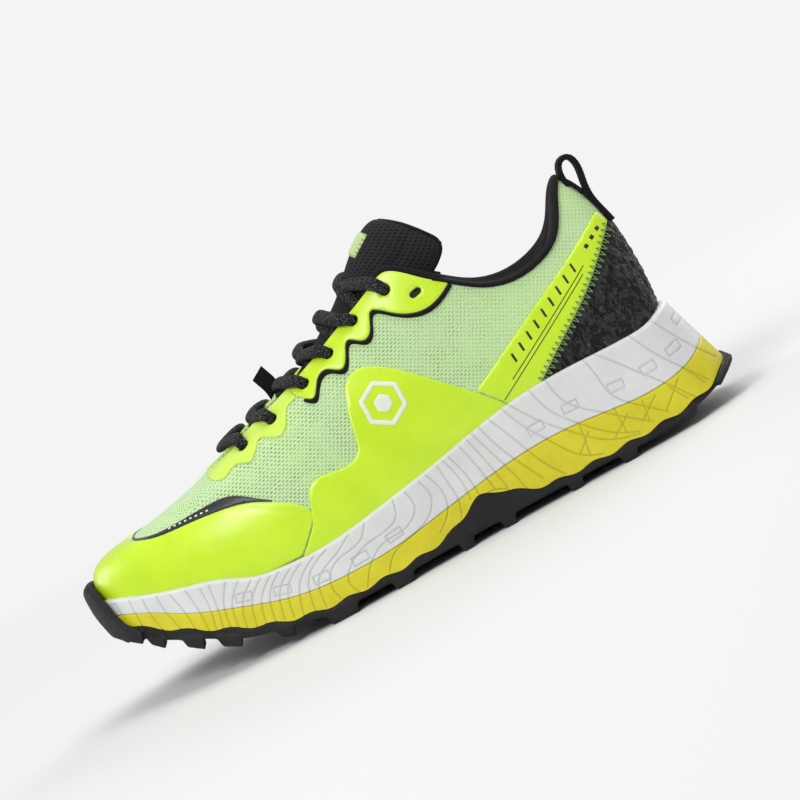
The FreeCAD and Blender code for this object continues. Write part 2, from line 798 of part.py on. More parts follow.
def hexagon(radius):
    """A regular hexagon in the side view round the badge's centre, point up."""
    x, z = BADGE_CENTRE
    turns = [math.radians(60 * i + 30) for i in range(6)]
    return polygon(*[(x + radius * math.cos(a), z + radius * math.sin(a)) for a in turns])


def badge():
    """A plain six-sided ring with a six-sided dot, raised on the lateral side overlay."""
    u, v = on_form(*BADGE_CENTRE)
    low = FILM_GAP + FILM + FILM_GAP
    patch = film((u - 2, u + 2), (v - 0.3, v + 0.3), low, low + size("badge_thickness"))
    outer = size("badge_radius")
    ring = prism(hexagon(outer), -80, 0).cut(prism(hexagon(outer - size("badge_ring")), -80, 0))
    return patch.common(ring), patch.common(prism(hexagon(outer * 0.4), -80, 0))


# ---------------------------------------------------------------- sub-parts as document objects

upper_shapes = mesh_panels()
for side in SIDES:
    upper_shapes[f"collar_lining_{side}"] = collar_lining(side)
    upper_shapes[f"collar_binding_{side}"] = collar_binding(side)
    upper_shapes[f"collar_foam_{side}"] = collar_foam(side)
counter_outside = -(SKIN + GAP)
counter_inside = counter_outside - size("counter_thickness") + 0.1
upper_shapes["heel_counter"] = panel(
    (HEEL - 4.5, HEEL + 4.5), (0.03, 0.6), counter_outside, counter_inside
)
upper_shapes["pull_loop_anchor"] = panel(
    (HEEL - 0.4, HEEL + 0.4), (0.62, 0.775), FILM_GAP + FILM + GAP + size("loop_thickness") - 0.8,
    FILM_GAP + FILM + GAP, rows=6,
)
upper_shapes["toe_puff"] = panel((-2.4, 2.4), (0.04, 0.5), counter_outside, counter_outside - 0.8)
upper_shapes.update(overlays())
upper_shapes["tongue_body"], upper_shapes["tongue_flap"], upper_shapes["tongue_label"] = tongue_shapes()

upper_shapes["badge_ring"], upper_shapes["badge_dot"] = badge()

lace_route = lace_points()
lace_shape, lace_length, lace_radius = tube(lace_route, LACE_RADIUS)
lace_volume = math.pi * LACE_RADIUS**2 * lace_length
print(f"lace: length {lace_length:.0f} mm, smallest radius {lace_radius:.1f} mm, "
      f"volume {lace_shape.Volume:.0f} of {lace_volume:.0f} mm3")

PIERCED = ["mesh_vamp", "mesh_quarter", "eyestay_lower", "eyestay_upper", "eyestay_binding"]
PRESSED = ["mesh_vamp", "eyestay_lower", "eyestay_upper", "tongue_body"]
lace_room = tube(lace_route, LACE_RADIUS + 0.25)[0]
hole_radius = LACE_RADIUS + size("lace_gap")
drills = {side: [] for side in SIDES}
for side in SIDES:
    for u, v in EYELET_SPOTS:
        drills[side].append(eyelet_cutter(to_side(u, side), v, hole_radius))
    spare_u, spare_v = on_form(*SPARE_EYELET)
    for shift in (-0.08, 0.08):
        drills[side].append(eyelet_cutter(to_side(spare_u + shift, side), spare_v, 1.5))


def drills_for(label):
    """The drills of the piece's own side, or of both sides for a piece that spans them."""
    own = [side for side in SIDES if label.endswith(side)] or list(SIDES)
    return [drill for side in own for drill in drills[side]]


for label, shape in upper_shapes.items():
    if any(label.startswith(start) for start in PIERCED):
        shape = shape.cut(drills_for(label))
    if any(label.startswith(start) for start in PRESSED):
        shape = shape.cut(lace_room)
    upper_shapes[label] = shape

for label, shape in upper_shapes.items():
    node(label, largest(shape) if len(shape.Solids) > 1 else shape)
node("lace", lace_shape)


def placed_along(point, axis):
    return CENTRING * FreeCAD.Placement(point, FreeCAD.Rotation(V(0, 0, 1), axis))


LACE_TIPS = {"lateral": (lace_route[0], lace_route[1]), "medial": (lace_route[-1], lace_route[-2])}
for side, (tip, before) in LACE_TIPS.items():
    aglet = doc.addObject("Part::Cylinder", f"aglet_{side}")
    aglet.Label = f"aglet_{side}"
    aglet.setExpression("Radius", "sizes.aglet_radius")
    aglet.setExpression("Height", "sizes.aglet_length")
    aglet.Placement = placed_along(tip, (tip - before).normalize())
    nodes.append(aglet)

keeper = doc.addObject("Part::Box", "lace_keeper")
keeper.Label = "lace_keeper"
keeper.setExpression("Length", "sizes.keeper_width")
keeper.setExpression("Width", "sizes.keeper_thickness")
keeper.setExpression("Height", "sizes.keeper_height")
KEEPER_CORNER = V(-28.5, -4.8, 94.6)
KEEPER_LEAN = -20
keeper.Placement = CENTRING * FreeCAD.Placement(KEEPER_CORNER, FreeCAD.Rotation(V(0, 1, 0), KEEPER_LEAN))
nodes.append(keeper)

# The pull loop is one webbing strap: two legs and a round bend, in the plane y = 0.
LOOP_PIVOT = V(122.6, 0, 109)
LOOP_LEAN = -4
LOOP_INNER = 3.3
FRONT_LEG = 9.6
BACK_LEG = 0.4
BEND_RISE = 11


def loop_body():
    """The strap's free bow: a bent strip drawn edge-on and padded to the webbing's width."""
    body = doc.addObject("PartDesign::Body", "pull_loop")
    body.Label = "pull_loop"
    plane = next(o for o in body.Origin.OriginFeatures if o.Role == "XZ_Plane")
    sketch = body.newObject("Sketcher::SketchObject", "loop_outline")
    sketch.AttachmentSupport = [(plane, "")]
    sketch.MapMode = "FlatFace"
    inner = LOOP_INNER
    outer = LOOP_INNER + size("loop_thickness")
    top = V(0, BEND_RISE, 0)

    def arc(radius):
        return Part.Arc(top + V(-radius, 0, 0), top + V(0, radius, 0), top + V(radius, 0, 0))

    corners = [
        (V(-outer, BEND_RISE, 0), V(-outer, FRONT_LEG, 0)),
        (V(-outer, FRONT_LEG, 0), V(-inner, FRONT_LEG, 0)),
        (V(-inner, FRONT_LEG, 0), V(-inner, BEND_RISE, 0)),
        (V(inner, BEND_RISE, 0), V(inner, BACK_LEG, 0)),
        (V(inner, BACK_LEG, 0), V(outer, BACK_LEG, 0)), (V(outer, BACK_LEG, 0), V(outer, BEND_RISE, 0)),
    ]
    sketch.addGeometry([arc(outer), arc(inner)], False)
    sketch.addGeometry([Part.LineSegment(a, b) for a, b in corners], False)
    pad = body.newObject("PartDesign::Pad", "loop_strap")
    pad.Profile = sketch
    pad.SideType = "Symmetric"
    pad.setExpression("Length", "sizes.loop_width")
    body.Placement = CENTRING * FreeCAD.Placement(LOOP_PIVOT, FreeCAD.Rotation(V(0, 1, 0), LOOP_LEAN))
    return body


nodes.append(loop_body())

doc.recompute()

# ---------------------------------------------------------------- checks and export

failed = [o.Label for o in doc.Objects if "Invalid" in o.State or "Error" in o.State]
if failed:
    raise RuntimeError(f"failed objects: {failed}")
os.makedirs("parts", exist_ok=True)
for feature in nodes:
    shape = feature.Shape
    if shape.isNull() or not shape.isValid() or shape.Volume <= 0:
        raise RuntimeError(f"{feature.Label} is not a valid solid")
    shape.exportStep(f"parts/{feature.Label}.step")
print(f"{len(nodes)} sub-parts written")
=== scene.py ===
"""The looks of the left trail running shoe, built round its CAD frame.

Outlines are in millimetres in the shoe's own frame: toe along -X, lateral side at -Y, tread on z = 0.
The upper's pieces are patches of the same smooth form as the CAD upper: u counts ribs round the
shoe (0 toe, 16 heel, 32 toe again) and v climbs the wall from the foot bed, 0, to the top edge, 1.
"""

import json
import math

import bpy
import numpy as np
from mathutils import Matrix, Vector, noise
from mathutils.geometry import delaunay_2d_cdt


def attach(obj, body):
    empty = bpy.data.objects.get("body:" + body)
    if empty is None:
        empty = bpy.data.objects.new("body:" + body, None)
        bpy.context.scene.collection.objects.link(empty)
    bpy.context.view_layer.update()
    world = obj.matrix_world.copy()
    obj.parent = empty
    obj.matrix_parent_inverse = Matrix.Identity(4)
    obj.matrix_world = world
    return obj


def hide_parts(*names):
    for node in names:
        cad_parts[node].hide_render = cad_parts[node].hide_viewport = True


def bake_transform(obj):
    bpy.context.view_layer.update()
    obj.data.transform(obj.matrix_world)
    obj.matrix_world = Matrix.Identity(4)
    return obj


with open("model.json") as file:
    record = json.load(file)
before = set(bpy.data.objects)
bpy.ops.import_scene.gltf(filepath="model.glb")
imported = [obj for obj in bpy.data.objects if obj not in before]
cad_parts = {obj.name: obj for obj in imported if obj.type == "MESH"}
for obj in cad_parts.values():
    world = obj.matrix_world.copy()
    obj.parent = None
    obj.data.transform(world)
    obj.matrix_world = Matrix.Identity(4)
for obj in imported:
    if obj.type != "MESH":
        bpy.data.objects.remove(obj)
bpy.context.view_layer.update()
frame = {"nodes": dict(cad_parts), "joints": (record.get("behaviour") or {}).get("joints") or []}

MM = 0.001

# ---------------------------------------------------------------- camera, light and floor

PICTURE_WIDTH = 345.6
PICTURE_CENTRE = (13.6, -3.0, 65.2)
ROLL = math.radians(28.2)
ELEVATION = math.radians(5)
LENS = 120.0
SENSOR = 36.0
PALE = (0.905, 0.905, 0.905, 1)
# The sky's strength where it lights the shoe, against 1 where the camera sees it.
FILL = 0.5
# Softboxes: name, place and width in metres, power in watts.
LAMPS = [
    ("key", (-0.5, -1.0, 0.95), 0.55, 9.0),
    ("top", (0.3, 0.0, 1.25), 0.8, 6.0),
    ("rear", (0.7, 0.9, 0.6), 0.7, 6.0),
    ("front", (-1.1, 0.5, 0.5), 0.6, 3.0),
]
LAMP_AIM = Vector((0, 0, 0.06))


def add_object(name, data):
    made = bpy.data.objects.new(name, data)
    bpy.context.scene.collection.objects.link(made)
    return made


def place_camera():
    """A long lens square to the lateral side, rolled so that the toe points down."""
    camera = add_object("camera", bpy.data.cameras.new("camera"))
    camera.data.lens = LENS
    camera.data.sensor_width = SENSOR
    camera.data.clip_end = 20
    back = Vector((0, -math.cos(ELEVATION), math.sin(ELEVATION)))
    up = Vector((0, math.sin(ELEVATION), math.cos(ELEVATION)))
    level_right = Vector((1, 0, 0))
    right = level_right * math.cos(ROLL) - up * math.sin(ROLL)
    rolled_up = level_right * math.sin(ROLL) + up * math.cos(ROLL)
    distance = PICTURE_WIDTH * MM * LENS / SENSOR
    place = Vector(PICTURE_CENTRE) * MM + back * distance
    turned = Matrix((right, rolled_up, back)).transposed().to_4x4()
    camera.matrix_world = Matrix.Translation(place) @ turned
    bpy.context.scene.camera = camera


def area_light(name, place, width, power):
    light = bpy.data.lights.new(name, "AREA")
    light.shape = "SQUARE"
    light.size = width
    light.energy = power
    lamp = add_object(name, light)
    lamp.location = place
    lamp.rotation_euler = (LAMP_AIM - Vector(place)).to_track_quat("-Z", "Y").to_euler()


def light_the_studio():
    world = bpy.data.worlds.new("studio")
    bpy.context.scene.world = world
    world.use_nodes = True
    tree = world.node_tree
    sky = tree.nodes["Background"]
    sky.inputs["Color"].default_value = PALE
    seen = tree.nodes.new("ShaderNodeLightPath").outputs["Is Camera Ray"]
    strength = tree.nodes.new("ShaderNodeMapRange")
    strength.inputs["To Min"].default_value = FILL
    tree.links.new(seen, strength.inputs["Value"])
    tree.links.new(strength.outputs["Result"], sky.inputs["Strength"])
    bpy.context.scene.view_settings.view_transform = "Standard"
    for lamp in LAMPS:
        area_light(*lamp)


FLOOR_RADIUS = 0.9
FLOOR_FADE = (0.25, 0.8)
FLOOR_COLOUR = (0.74, 0.74, 0.74, 1)
FLOOR_DROP = 0.0002


def make_floor():
    """A pale disc under the tread that fades into the background."""
    mesh = bpy.data.meshes.new("floor")
    turns = np.linspace(0, 2 * math.pi, 96, endpoint=False)
    rim = [(FLOOR_RADIUS * math.cos(a), FLOOR_RADIUS * math.sin(a), 0) for a in turns]
    mesh.from_pydata(rim, [], [range(len(rim))])
    floor = add_object("floor", mesh)
    floor.location.z = -FLOOR_DROP
    g = Graph("floor")
    mesh.materials.append(MATERIALS["floor"])
    away = g.math("LENGTH", g.coordinate("Object"), vector=True)
    g.surface(FLOOR_COLOUR, 1.0, specular=0.0)
    mix = g.add("ShaderNodeMixShader")
    g.feed(mix.inputs[0], g.spread(away, *FLOOR_FADE, 0, 1))
    g.tree.links.new(g.shader.outputs[0], mix.inputs[1])
    g.tree.links.new(g.add("ShaderNodeBsdfTransparent").outputs[0], mix.inputs[2])
    g.tree.links.new(mix.outputs[0], g.tree.nodes["Material Output"].inputs["Surface"])


# ---------------------------------------------------------------- node graphs

MATERIALS = {}
SURFACE_INPUTS = {
    "specular": "Specular IOR Level", "coat": "Coat Weight", "coat_rough": "Coat Roughness",
    "sheen": "Sheen Weight", "sheen_rough": "Sheen Roughness",
}


def linear(display):
    """A display colour, 0 to 255, as the linear colour that a shader takes."""
    shares = [channel / 255 for channel in display]
    return (*(c / 12.92 if c <= 0.04045 else ((c + 0.055) / 1.055) ** 2.4 for c in shares), 1)


class Wire:
    """A node's output that takes plain arithmetic: each sign adds one maths node."""

    def __init__(self, graph, socket):
        self.graph = graph
        self.socket = socket

    def __add__(self, other):
        return self.graph.math("ADD", self, other)

    def __sub__(self, other):
        return self.graph.math("SUBTRACT", self, other)

    def __rsub__(self, other):
        return self.graph.math("SUBTRACT", other, self)

    def __mul__(self, other):
        return self.graph.math("MULTIPLY", self, other)

    def __truediv__(self, other):
        return self.graph.math("DIVIDE", self, other)


class Graph:
    """A new material, and short calls for wiring its nodes."""

    def __init__(self, name):
        MATERIALS[name] = bpy.data.materials.new(name)
        MATERIALS[name].use_nodes = True
        self.tree = MATERIALS[name].node_tree
        self.shader = self.tree.nodes["Principled BSDF"]

    def add(self, kind, **settings):
        made = self.tree.nodes.new(kind)
        for name, value in settings.items():
            setattr(made, name, value)
        return made

    def feed(self, target, value):
        """Links a wire, or sets a plain number or colour."""
        if isinstance(value, Wire):
            self.tree.links.new(value.socket, target)
        else:
            target.default_value = value

    def surface(self, color, rough, **more):
        """The shader's colour and roughness, and further inputs by their short names."""
        self.feed(self.shader.inputs["Base Color"], color)
        self.feed(self.shader.inputs["Roughness"], rough)
        for name, value in more.items():
            self.feed(self.shader.inputs[SURFACE_INPUTS[name]], value)

    def math(self, operation, *values, vector=False):
        made = self.add("ShaderNodeVectorMath" if vector else "ShaderNodeMath", operation=operation)
        for target, value in zip(made.inputs, values):
            self.feed(target, value)
        return Wire(self, made.outputs["Value" if not vector or operation == "LENGTH" else "Vector"])

    def coordinate(self, kind):
        return Wire(self, self.add("ShaderNodeTexCoord").outputs[kind])

    def object_place(self):
        """The point in the shoe's frame, in millimetres."""
        return self.math("MULTIPLY", self.coordinate("Object"), (1000, 1000, 1000), vector=True)

    def surface_place(self):
        """The UV map, whose unit is a metre of surface, in millimetres."""
        where = Wire(self, self.add("ShaderNodeUVMap").outputs["UV"])
        return self.math("MULTIPLY", where, (1000, 1000, 1000), vector=True)

    def parts(self, vector):
        """The three parts of a vector."""
        made = self.add("ShaderNodeSeparateXYZ")
        self.feed(made.inputs[0], vector)
        return [Wire(self, socket) for socket in made.outputs]

    def noise(self, where, scale, detail=3.0, rough=0.6, colored=False):
        made = self.add("ShaderNodeTexNoise")
        for name, value in (("Vector", where), ("Scale", scale), ("Detail", detail), ("Roughness", rough)):
            self.feed(made.inputs[name], value)
        return Wire(self, made.outputs["Color"] if colored else made.outputs[0])

    def cells(self, where, scale):
        made = self.add("ShaderNodeTexVoronoi")
        self.feed(made.inputs["Vector"], where)
        self.feed(made.inputs["Scale"], scale)
        return Wire(self, made.outputs["Distance"])

    def from_middle(self, value):
        """How far a value is from the middle between the whole numbers on each side of it."""
        return self.math("ABSOLUTE", value - self.math("FLOOR", value) - 0.5)

    def spread(self, value, low, high, to_low, to_high):
        """value from low..high carried over to to_low..to_high, and held there outside."""
        made = self.add("ShaderNodeMapRange")
        self.feed(made.inputs["Value"], value)
        for name, number in zip(("From Min", "From Max", "To Min", "To Max"), (low, high, to_low, to_high)):
            made.inputs[name].default_value = number
        return Wire(self, made.outputs["Result"])

    def mix(self, share, one, two):
        """Two colours mixed; one that isn't a wire is a display colour, 0 to 255."""
        made = self.add("ShaderNodeMix", data_type="RGBA")
        self.feed(made.inputs["Factor"], share)
        for place, color in ((6, one), (7, two)):
            self.feed(made.inputs[place], color if isinstance(color, Wire) else linear(color))
        return Wire(self, made.outputs[2])

    def bump(self, height, distance_mm, strength):
        made = self.add("ShaderNodeBump")
        for name, value in (("Height", height), ("Distance", distance_mm * MM), ("Strength", strength)):
            self.feed(made.inputs[name], value)
        self.tree.links.new(made.outputs["Normal"], self.shader.inputs["Normal"])

    def attribute(self, name):
        return Wire(self, self.add("ShaderNodeAttribute", attribute_name=name).outputs["Fac"])


# ---------------------------------------------------------------- materials

LIME_EDGE_HIGHLIGHT = (222, 244, 110)
EDGE_REACH = 3.0


def film_material(name, base, deep, edge_highlight, rough=(0.26, 0.42), coat=0.35, grain=0.03):
    """A welded film: smooth, lightly grained, and paler at its pressed edge, where a highlight is painted
    along the rounded rim.
    """
    g = Graph(name)
    where = g.object_place()
    color = g.mix(g.spread(g.noise(where, 0.06, 4), 0.35, 0.65, 0, 1), base, deep)
    # A painted highlight: the colour turns paler toward the film's rounded rim.
    color = g.mix(g.spread(g.attribute("edge"), 0.0, 0.9, 0.55, 0.0), color, edge_highlight)
    g.surface(color, g.spread(g.noise(where, 0.3, 6), 0.3, 0.7, *rough), coat=coat, coat_rough=0.2)
    g.bump(g.noise(where, 2.2, 5), grain, 0.7)


# The slant of the knit's rows in degrees, the row pitch and the stitch pitch.
KNIT_LEAN = 17
KNIT_ROW = 1.15
KNIT_STITCH = 2.3


def knit_material():
    """Engineered mesh: pale yarn in slanted rows, with small dark gaps between the loops."""
    g = Graph("mesh_knit")
    where = g.object_place()
    x, y, z = g.parts(where)
    sideways = g.math("ABSOLUTE", g.parts(g.coordinate("Normal"))[1])
    on_side = g.spread(sideways, 0.5, 0.62, 0, 1)
    wobble = g.noise(where, 0.3, 2) * 1.2
    c, s = math.cos(math.radians(KNIT_LEAN)), math.sin(math.radians(KNIT_LEAN))

    def gaps(across_shoe, upward):
        """A brick grid of short gaps along slanted rows, each row half a stitch behind the last."""
        rows = (upward * c - across_shoe * s + wobble) / KNIT_ROW
        stitches = (across_shoe * c + upward * s) / KNIT_STITCH + g.math("FLOOR", rows) * 0.5
        in_loop, from_row = g.from_middle(stitches), g.from_middle(rows)
        return g.spread(in_loop, 0.2, 0.34, 1, 0) * g.spread(from_row, 0.12, 0.3, 1, 0)

    climb = x * 0.8 + z * 0.6
    gap = gaps(y, climb) * (1.0 - on_side) + gaps(x, z) * on_side
    finer_behind = g.spread(x, 20, 75, 1.0, 0.55)
    gap = gap * finer_behind
    patchy = g.spread(g.noise(where, 0.13, 3), 0.35, 0.62, 0.35, 1.0)
    fibre = g.noise(where, 3.4, 4)
    yarn = g.mix(g.spread(fibre, 0.3, 0.7, 0, 1), (187, 222, 157), (213, 240, 188))
    yarn = g.mix(g.spread(g.noise(where, 0.045, 2), 0.35, 0.65, 0, 0.6), yarn, (200, 236, 160))
    color = g.mix(gap * patchy * 0.8, yarn, (98, 128, 82))
    g.surface(color, 0.86, sheen=0.25, sheen_rough=0.4)
    g.bump(fibre * 0.35 - gap, 0.3, 0.9)


def crushed_material():
    """Crushed black film: raised flakes between creases painted darker as shade, with glossy crests."""
    g = Graph("crushed_film")
    where = g.object_place()
    bend = g.math("MULTIPLY", g.noise(where, 0.2, 2, 0.5, colored=True), (9, 9, 9), vector=True)
    slanted = g.add("ShaderNodeMapping")
    g.feed(slanted.inputs["Vector"], g.math("ADD", where, bend, vector=True))
    slanted.inputs["Rotation"].default_value = (0, math.radians(-40), 0)
    slanted.inputs["Scale"].default_value = (1.0, 0.8, 0.36)
    flakes = g.noise(Wire(g, slanted.outputs["Vector"]), 0.45, 1, 0.5)
    raised = g.spread(flakes, 0.42, 0.54, 0, 1)
    # Painted shade: the creases take a near-black colour, and the raised flakes a lighter grey.
    g.surface(g.mix(raised, (14, 14, 15), (50, 50, 52)), g.spread(raised, 0, 1, 0.6, 0.3), specular=0.28)
    g.bump(g.spread(flakes, 0.36, 0.66, 0, 1), 1.3, 1.0)


def cloth_material(name, base, light, pitch, hole_depth):
    """Woven or spacer mesh cloth: a fine staggered grid of holes between rounded yarns."""
    g = Graph(name)
    along, across, _ = g.parts(g.surface_place())
    rows = across / pitch
    holes = along / (pitch * 1.25) + g.math("FLOOR", rows) * 0.5
    in_row, in_cell = g.from_middle(rows), g.from_middle(holes)
    hole = g.spread(in_row * in_row + in_cell * in_cell, 0.04, 0.13, 1, 0)
    fibre = g.noise(g.object_place(), 4.0, 4)
    color = g.mix(g.spread(fibre, 0.35, 0.68, 0, 1), base, light)
    color = g.mix(hole * 0.75, color, (14, 14, 15))
    g.surface(color, g.spread(fibre, 0.3, 0.7, 0.8, 0.94), specular=0.15, sheen=0.035, sheen_rough=0.5)
    g.bump(fibre * 0.3 - hole, hole_depth, 0.9)


def braid_material(name, base, light, pitch, fleck, dark=(10, 10, 11)):
    """A woven cord or tape: two crossing sets of yarns that follow the piece's own length, with painted
    shade in the valleys between them.
    """
    g = Graph(name)
    along, around, _ = g.parts(g.surface_place())
    turn = 2 * math.pi / pitch
    waves = [g.math("SINE", (along + around * sense) * turn) for sense in (1.0, -1.0)]
    crown = g.spread(g.math("MAXIMUM", *waves), -0.2, 1.0, 0, 1)
    flecks = g.spread(g.noise(g.object_place(), 1.7, 2, 0.4), 0.52, 0.59, 0, fleck)
    # Painted shade: away from each yarn's crown the colour falls to the dark colour of the valleys.
    color = g.mix(flecks * crown, g.mix(crown, dark, base), light)
    g.surface(color, 0.82, specular=0.15, sheen=0.035, sheen_rough=0.5)
    g.bump(crown + g.noise(g.object_place(), 5.0, 3) * 0.3, 0.22, 0.9)


def foam_material(name, base, deep, groove_shade):
    """Moulded foam: a closed skin with faint pores and scuffs, and painted shade in its grooves."""
    g = Graph(name)
    where = g.object_place()
    color = g.mix(g.spread(g.noise(where, 0.05, 4), 0.35, 0.65, 0, 1), base, deep)
    # Painted shade: the grooves are coloured greyer than the foam round them.
    color = g.mix(g.attribute("groove") * 0.7, color, groove_shade)
    color = g.mix(g.spread(g.noise(where, 0.5, 6, 0.75), 0.6, 0.75, 0, 0.25), color, deep)
    g.surface(color, g.spread(g.noise(where, 0.4, 5), 0.3, 0.7, 0.42, 0.62))
    g.bump(g.spread(g.cells(where, 1.6), 0.0, 0.5, 0, 1) + g.noise(where, 1.2, 5), 0.05, 0.6)


def rubber_material():
    """Tread rubber: near black, finely grained, a little greyer where the lugs wear."""
    g = Graph("tread_rubber")
    where = g.object_place()
    near_floor = g.spread(g.parts(where)[2], 0.0, 0.8, 1, 0)
    worn = near_floor * g.spread(g.noise(where, 0.2, 6), 0.4, 0.65, 0, 1)
    color = g.mix(g.spread(g.noise(where, 0.08, 5), 0.35, 0.65, 0, 1), (28, 28, 29), (38, 38, 38))
    color = g.mix(worn * 0.6, color, (84, 83, 81))
    g.surface(color, g.spread(g.noise(where, 0.5, 6), 0.3, 0.7, 0.45, 0.7), specular=0.25)
    g.bump(g.noise(where, 1.6, 6) + g.cells(where, 0.9), 0.12, 0.6)


def plain_material(name, base, light, scale, grain, rough):
    """A quiet fibrous or moulded surface for the pieces inside the shoe."""
    g = Graph(name)
    where = g.object_place()
    color = g.mix(g.spread(g.noise(where, scale, 5), 0.35, 0.65, 0, 1), base, light)
    g.surface(color, g.spread(g.noise(where, scale * 3, 4), 0.3, 0.7, rough - 0.1, rough + 0.1))
    g.bump(g.noise(where, scale * 8, 5), grain, 0.8)


def clear_material():
    """The stiff film of a lace tip over dark cord."""
    g = Graph("clear_plastic")
    where = g.object_place()
    color = g.mix(g.noise(where, 1.5, 3), (30, 30, 32), (70, 70, 74))
    g.surface(color, g.spread(g.noise(where, 1.1, 3), 0.3, 0.7, 0.2, 0.35), coat=1.0, coat_rough=0.05)
    g.bump(g.noise(where, 2.0, 3), 0.05, 0.5)


def make_materials():
    rubber_material()
    knit_material()
    crushed_material()
    clear_material()
    # The last colour of each foam is the painted shade in its grooves.
    foam_material("foam_yellow", (222, 214, 40), (212, 200, 28), (170, 158, 20))
    foam_material("foam_white", (226, 227, 227), (216, 217, 216), (172, 174, 174))
    plain_material("board", (205, 200, 186), (226, 222, 210), 0.6, 0.15, 0.85)
    plain_material("stiffener", (40, 41, 43), (58, 59, 61), 0.5, 0.08, 0.5)
    film_material("lime_film", (208, 243, 38), (199, 236, 28), LIME_EDGE_HIGHLIGHT)
    film_material("pale_lime_film", (214, 243, 96), (203, 238, 78), LIME_EDGE_HIGHLIGHT)
    film_material("black_film", (27, 28, 30), (38, 39, 42), (52, 53, 56), (0.3, 0.5), 0.2, 0.08)
    film_material("pale_print", (236, 241, 230), (226, 234, 218), (240, 244, 236), (0.4, 0.5), 0.1)
    film_material("black_print", (28, 30, 26), (36, 38, 32), (40, 42, 36), (0.4, 0.5), 0.1)
    cloth_material("black_cloth", (20, 20, 22), (35, 35, 38), 0.9, 0.2)
    cloth_material("black_mesh", (28, 28, 30), (54, 54, 57), 1.25, 0.5)
    cloth_material("insole_cloth", (58, 60, 62), (84, 86, 88), 0.8, 0.1)
    cloth_material("label_weave", (196, 226, 150), (222, 240, 186), 0.6, 0.12)
    braid_material("black_webbing", (25, 25, 27), (62, 62, 66), 1.3, 0.25)
    braid_material("lace_braid", (25, 25, 27), (132, 132, 135), 1.5, 0.55)
    braid_material("green_thread", (158, 198, 134), (190, 226, 166), 0.6, 0.3, (104, 140, 84))


# ---------------------------------------------------------------- curves and the form of the upper


def travelled(points):
    """How far along a run of points each of them is."""
    return np.concatenate([[0], np.cumsum(np.linalg.norm(np.diff(points, axis=0), axis=1))])


def unit(vectors):
    return vectors / np.maximum(np.linalg.norm(vectors, axis=-1, keepdims=True), 1e-9)


def ramp(value, start, end):
    """0 at the start, 1 at the end, straight between them and held outside."""
    return np.clip((value - start) / (end - start), 0, 1)


def bell(distance, width):
    return np.exp(-((distance / width) ** 2))


def headings(path):
    """Unit vectors along a path, at each of its points."""
    return unit(np.gradient(path, axis=0))


class Spline:
    """A smooth curve through points, natural at its ends or closed."""

    def __init__(self, points, stations=None, closed=False):
        self.p = np.asarray(points, float)
        if closed:
            self.p = np.vstack([self.p, self.p[:1]])
        self.t = travelled(self.p) if stations is None else np.asarray(stations, float)
        gap = np.diff(self.t)
        slope = np.diff(self.p, axis=0) / gap[:, None]
        count = len(self.p)
        system = np.eye(count)
        right = np.zeros_like(self.p)
        for i in range(1, count - 1):
            system[i, i - 1 : i + 2] = gap[i - 1], 2 * (gap[i - 1] + gap[i]), gap[i]
            right[i] = 6 * (slope[i] - slope[i - 1])
        if closed:
            system[0, :2] = 2 * (gap[-1] + gap[0]), gap[0]
            system[0, -2] = gap[-1]
            right[0] = 6 * (slope[0] - slope[-1])
            system[-1, 0], system[-1, -1] = 1, -1
        self.bend = np.linalg.solve(system, right)
        self.length = self.t[-1]

    def __call__(self, t):
        t = np.asarray(t, float)
        flat = t.ravel()
        i = np.clip(np.searchsorted(self.t, flat, "right") - 1, 0, len(self.t) - 2)
        gap = (self.t[i + 1] - self.t[i])[:, None]
        b = (flat - self.t[i])[:, None] / gap
        a = 1 - b
        p = a * self.p[i] + b * self.p[i + 1]
        p = p + ((a**3 - a) * self.bend[i] + (b**3 - b) * self.bend[i + 1]) * gap**2 / 6
        return p.reshape(*t.shape, -1)

    def even(self, count, **ends):
        """Evenly spaced points of the curve."""
        return self(np.linspace(0, self.length, count, **ends))


class HeightLine:
    """A height, or a distance aside, as a smooth function of x through points."""

    def __init__(self, *points, ends=()):
        if ends:
            points = [(ends[0], points[0][1]), *points, (ends[1], points[-1][1])]
        self.x, self.z = Spline(points).even(2500).T

    def __call__(self, x):
        return np.interp(x, self.x, self.z)


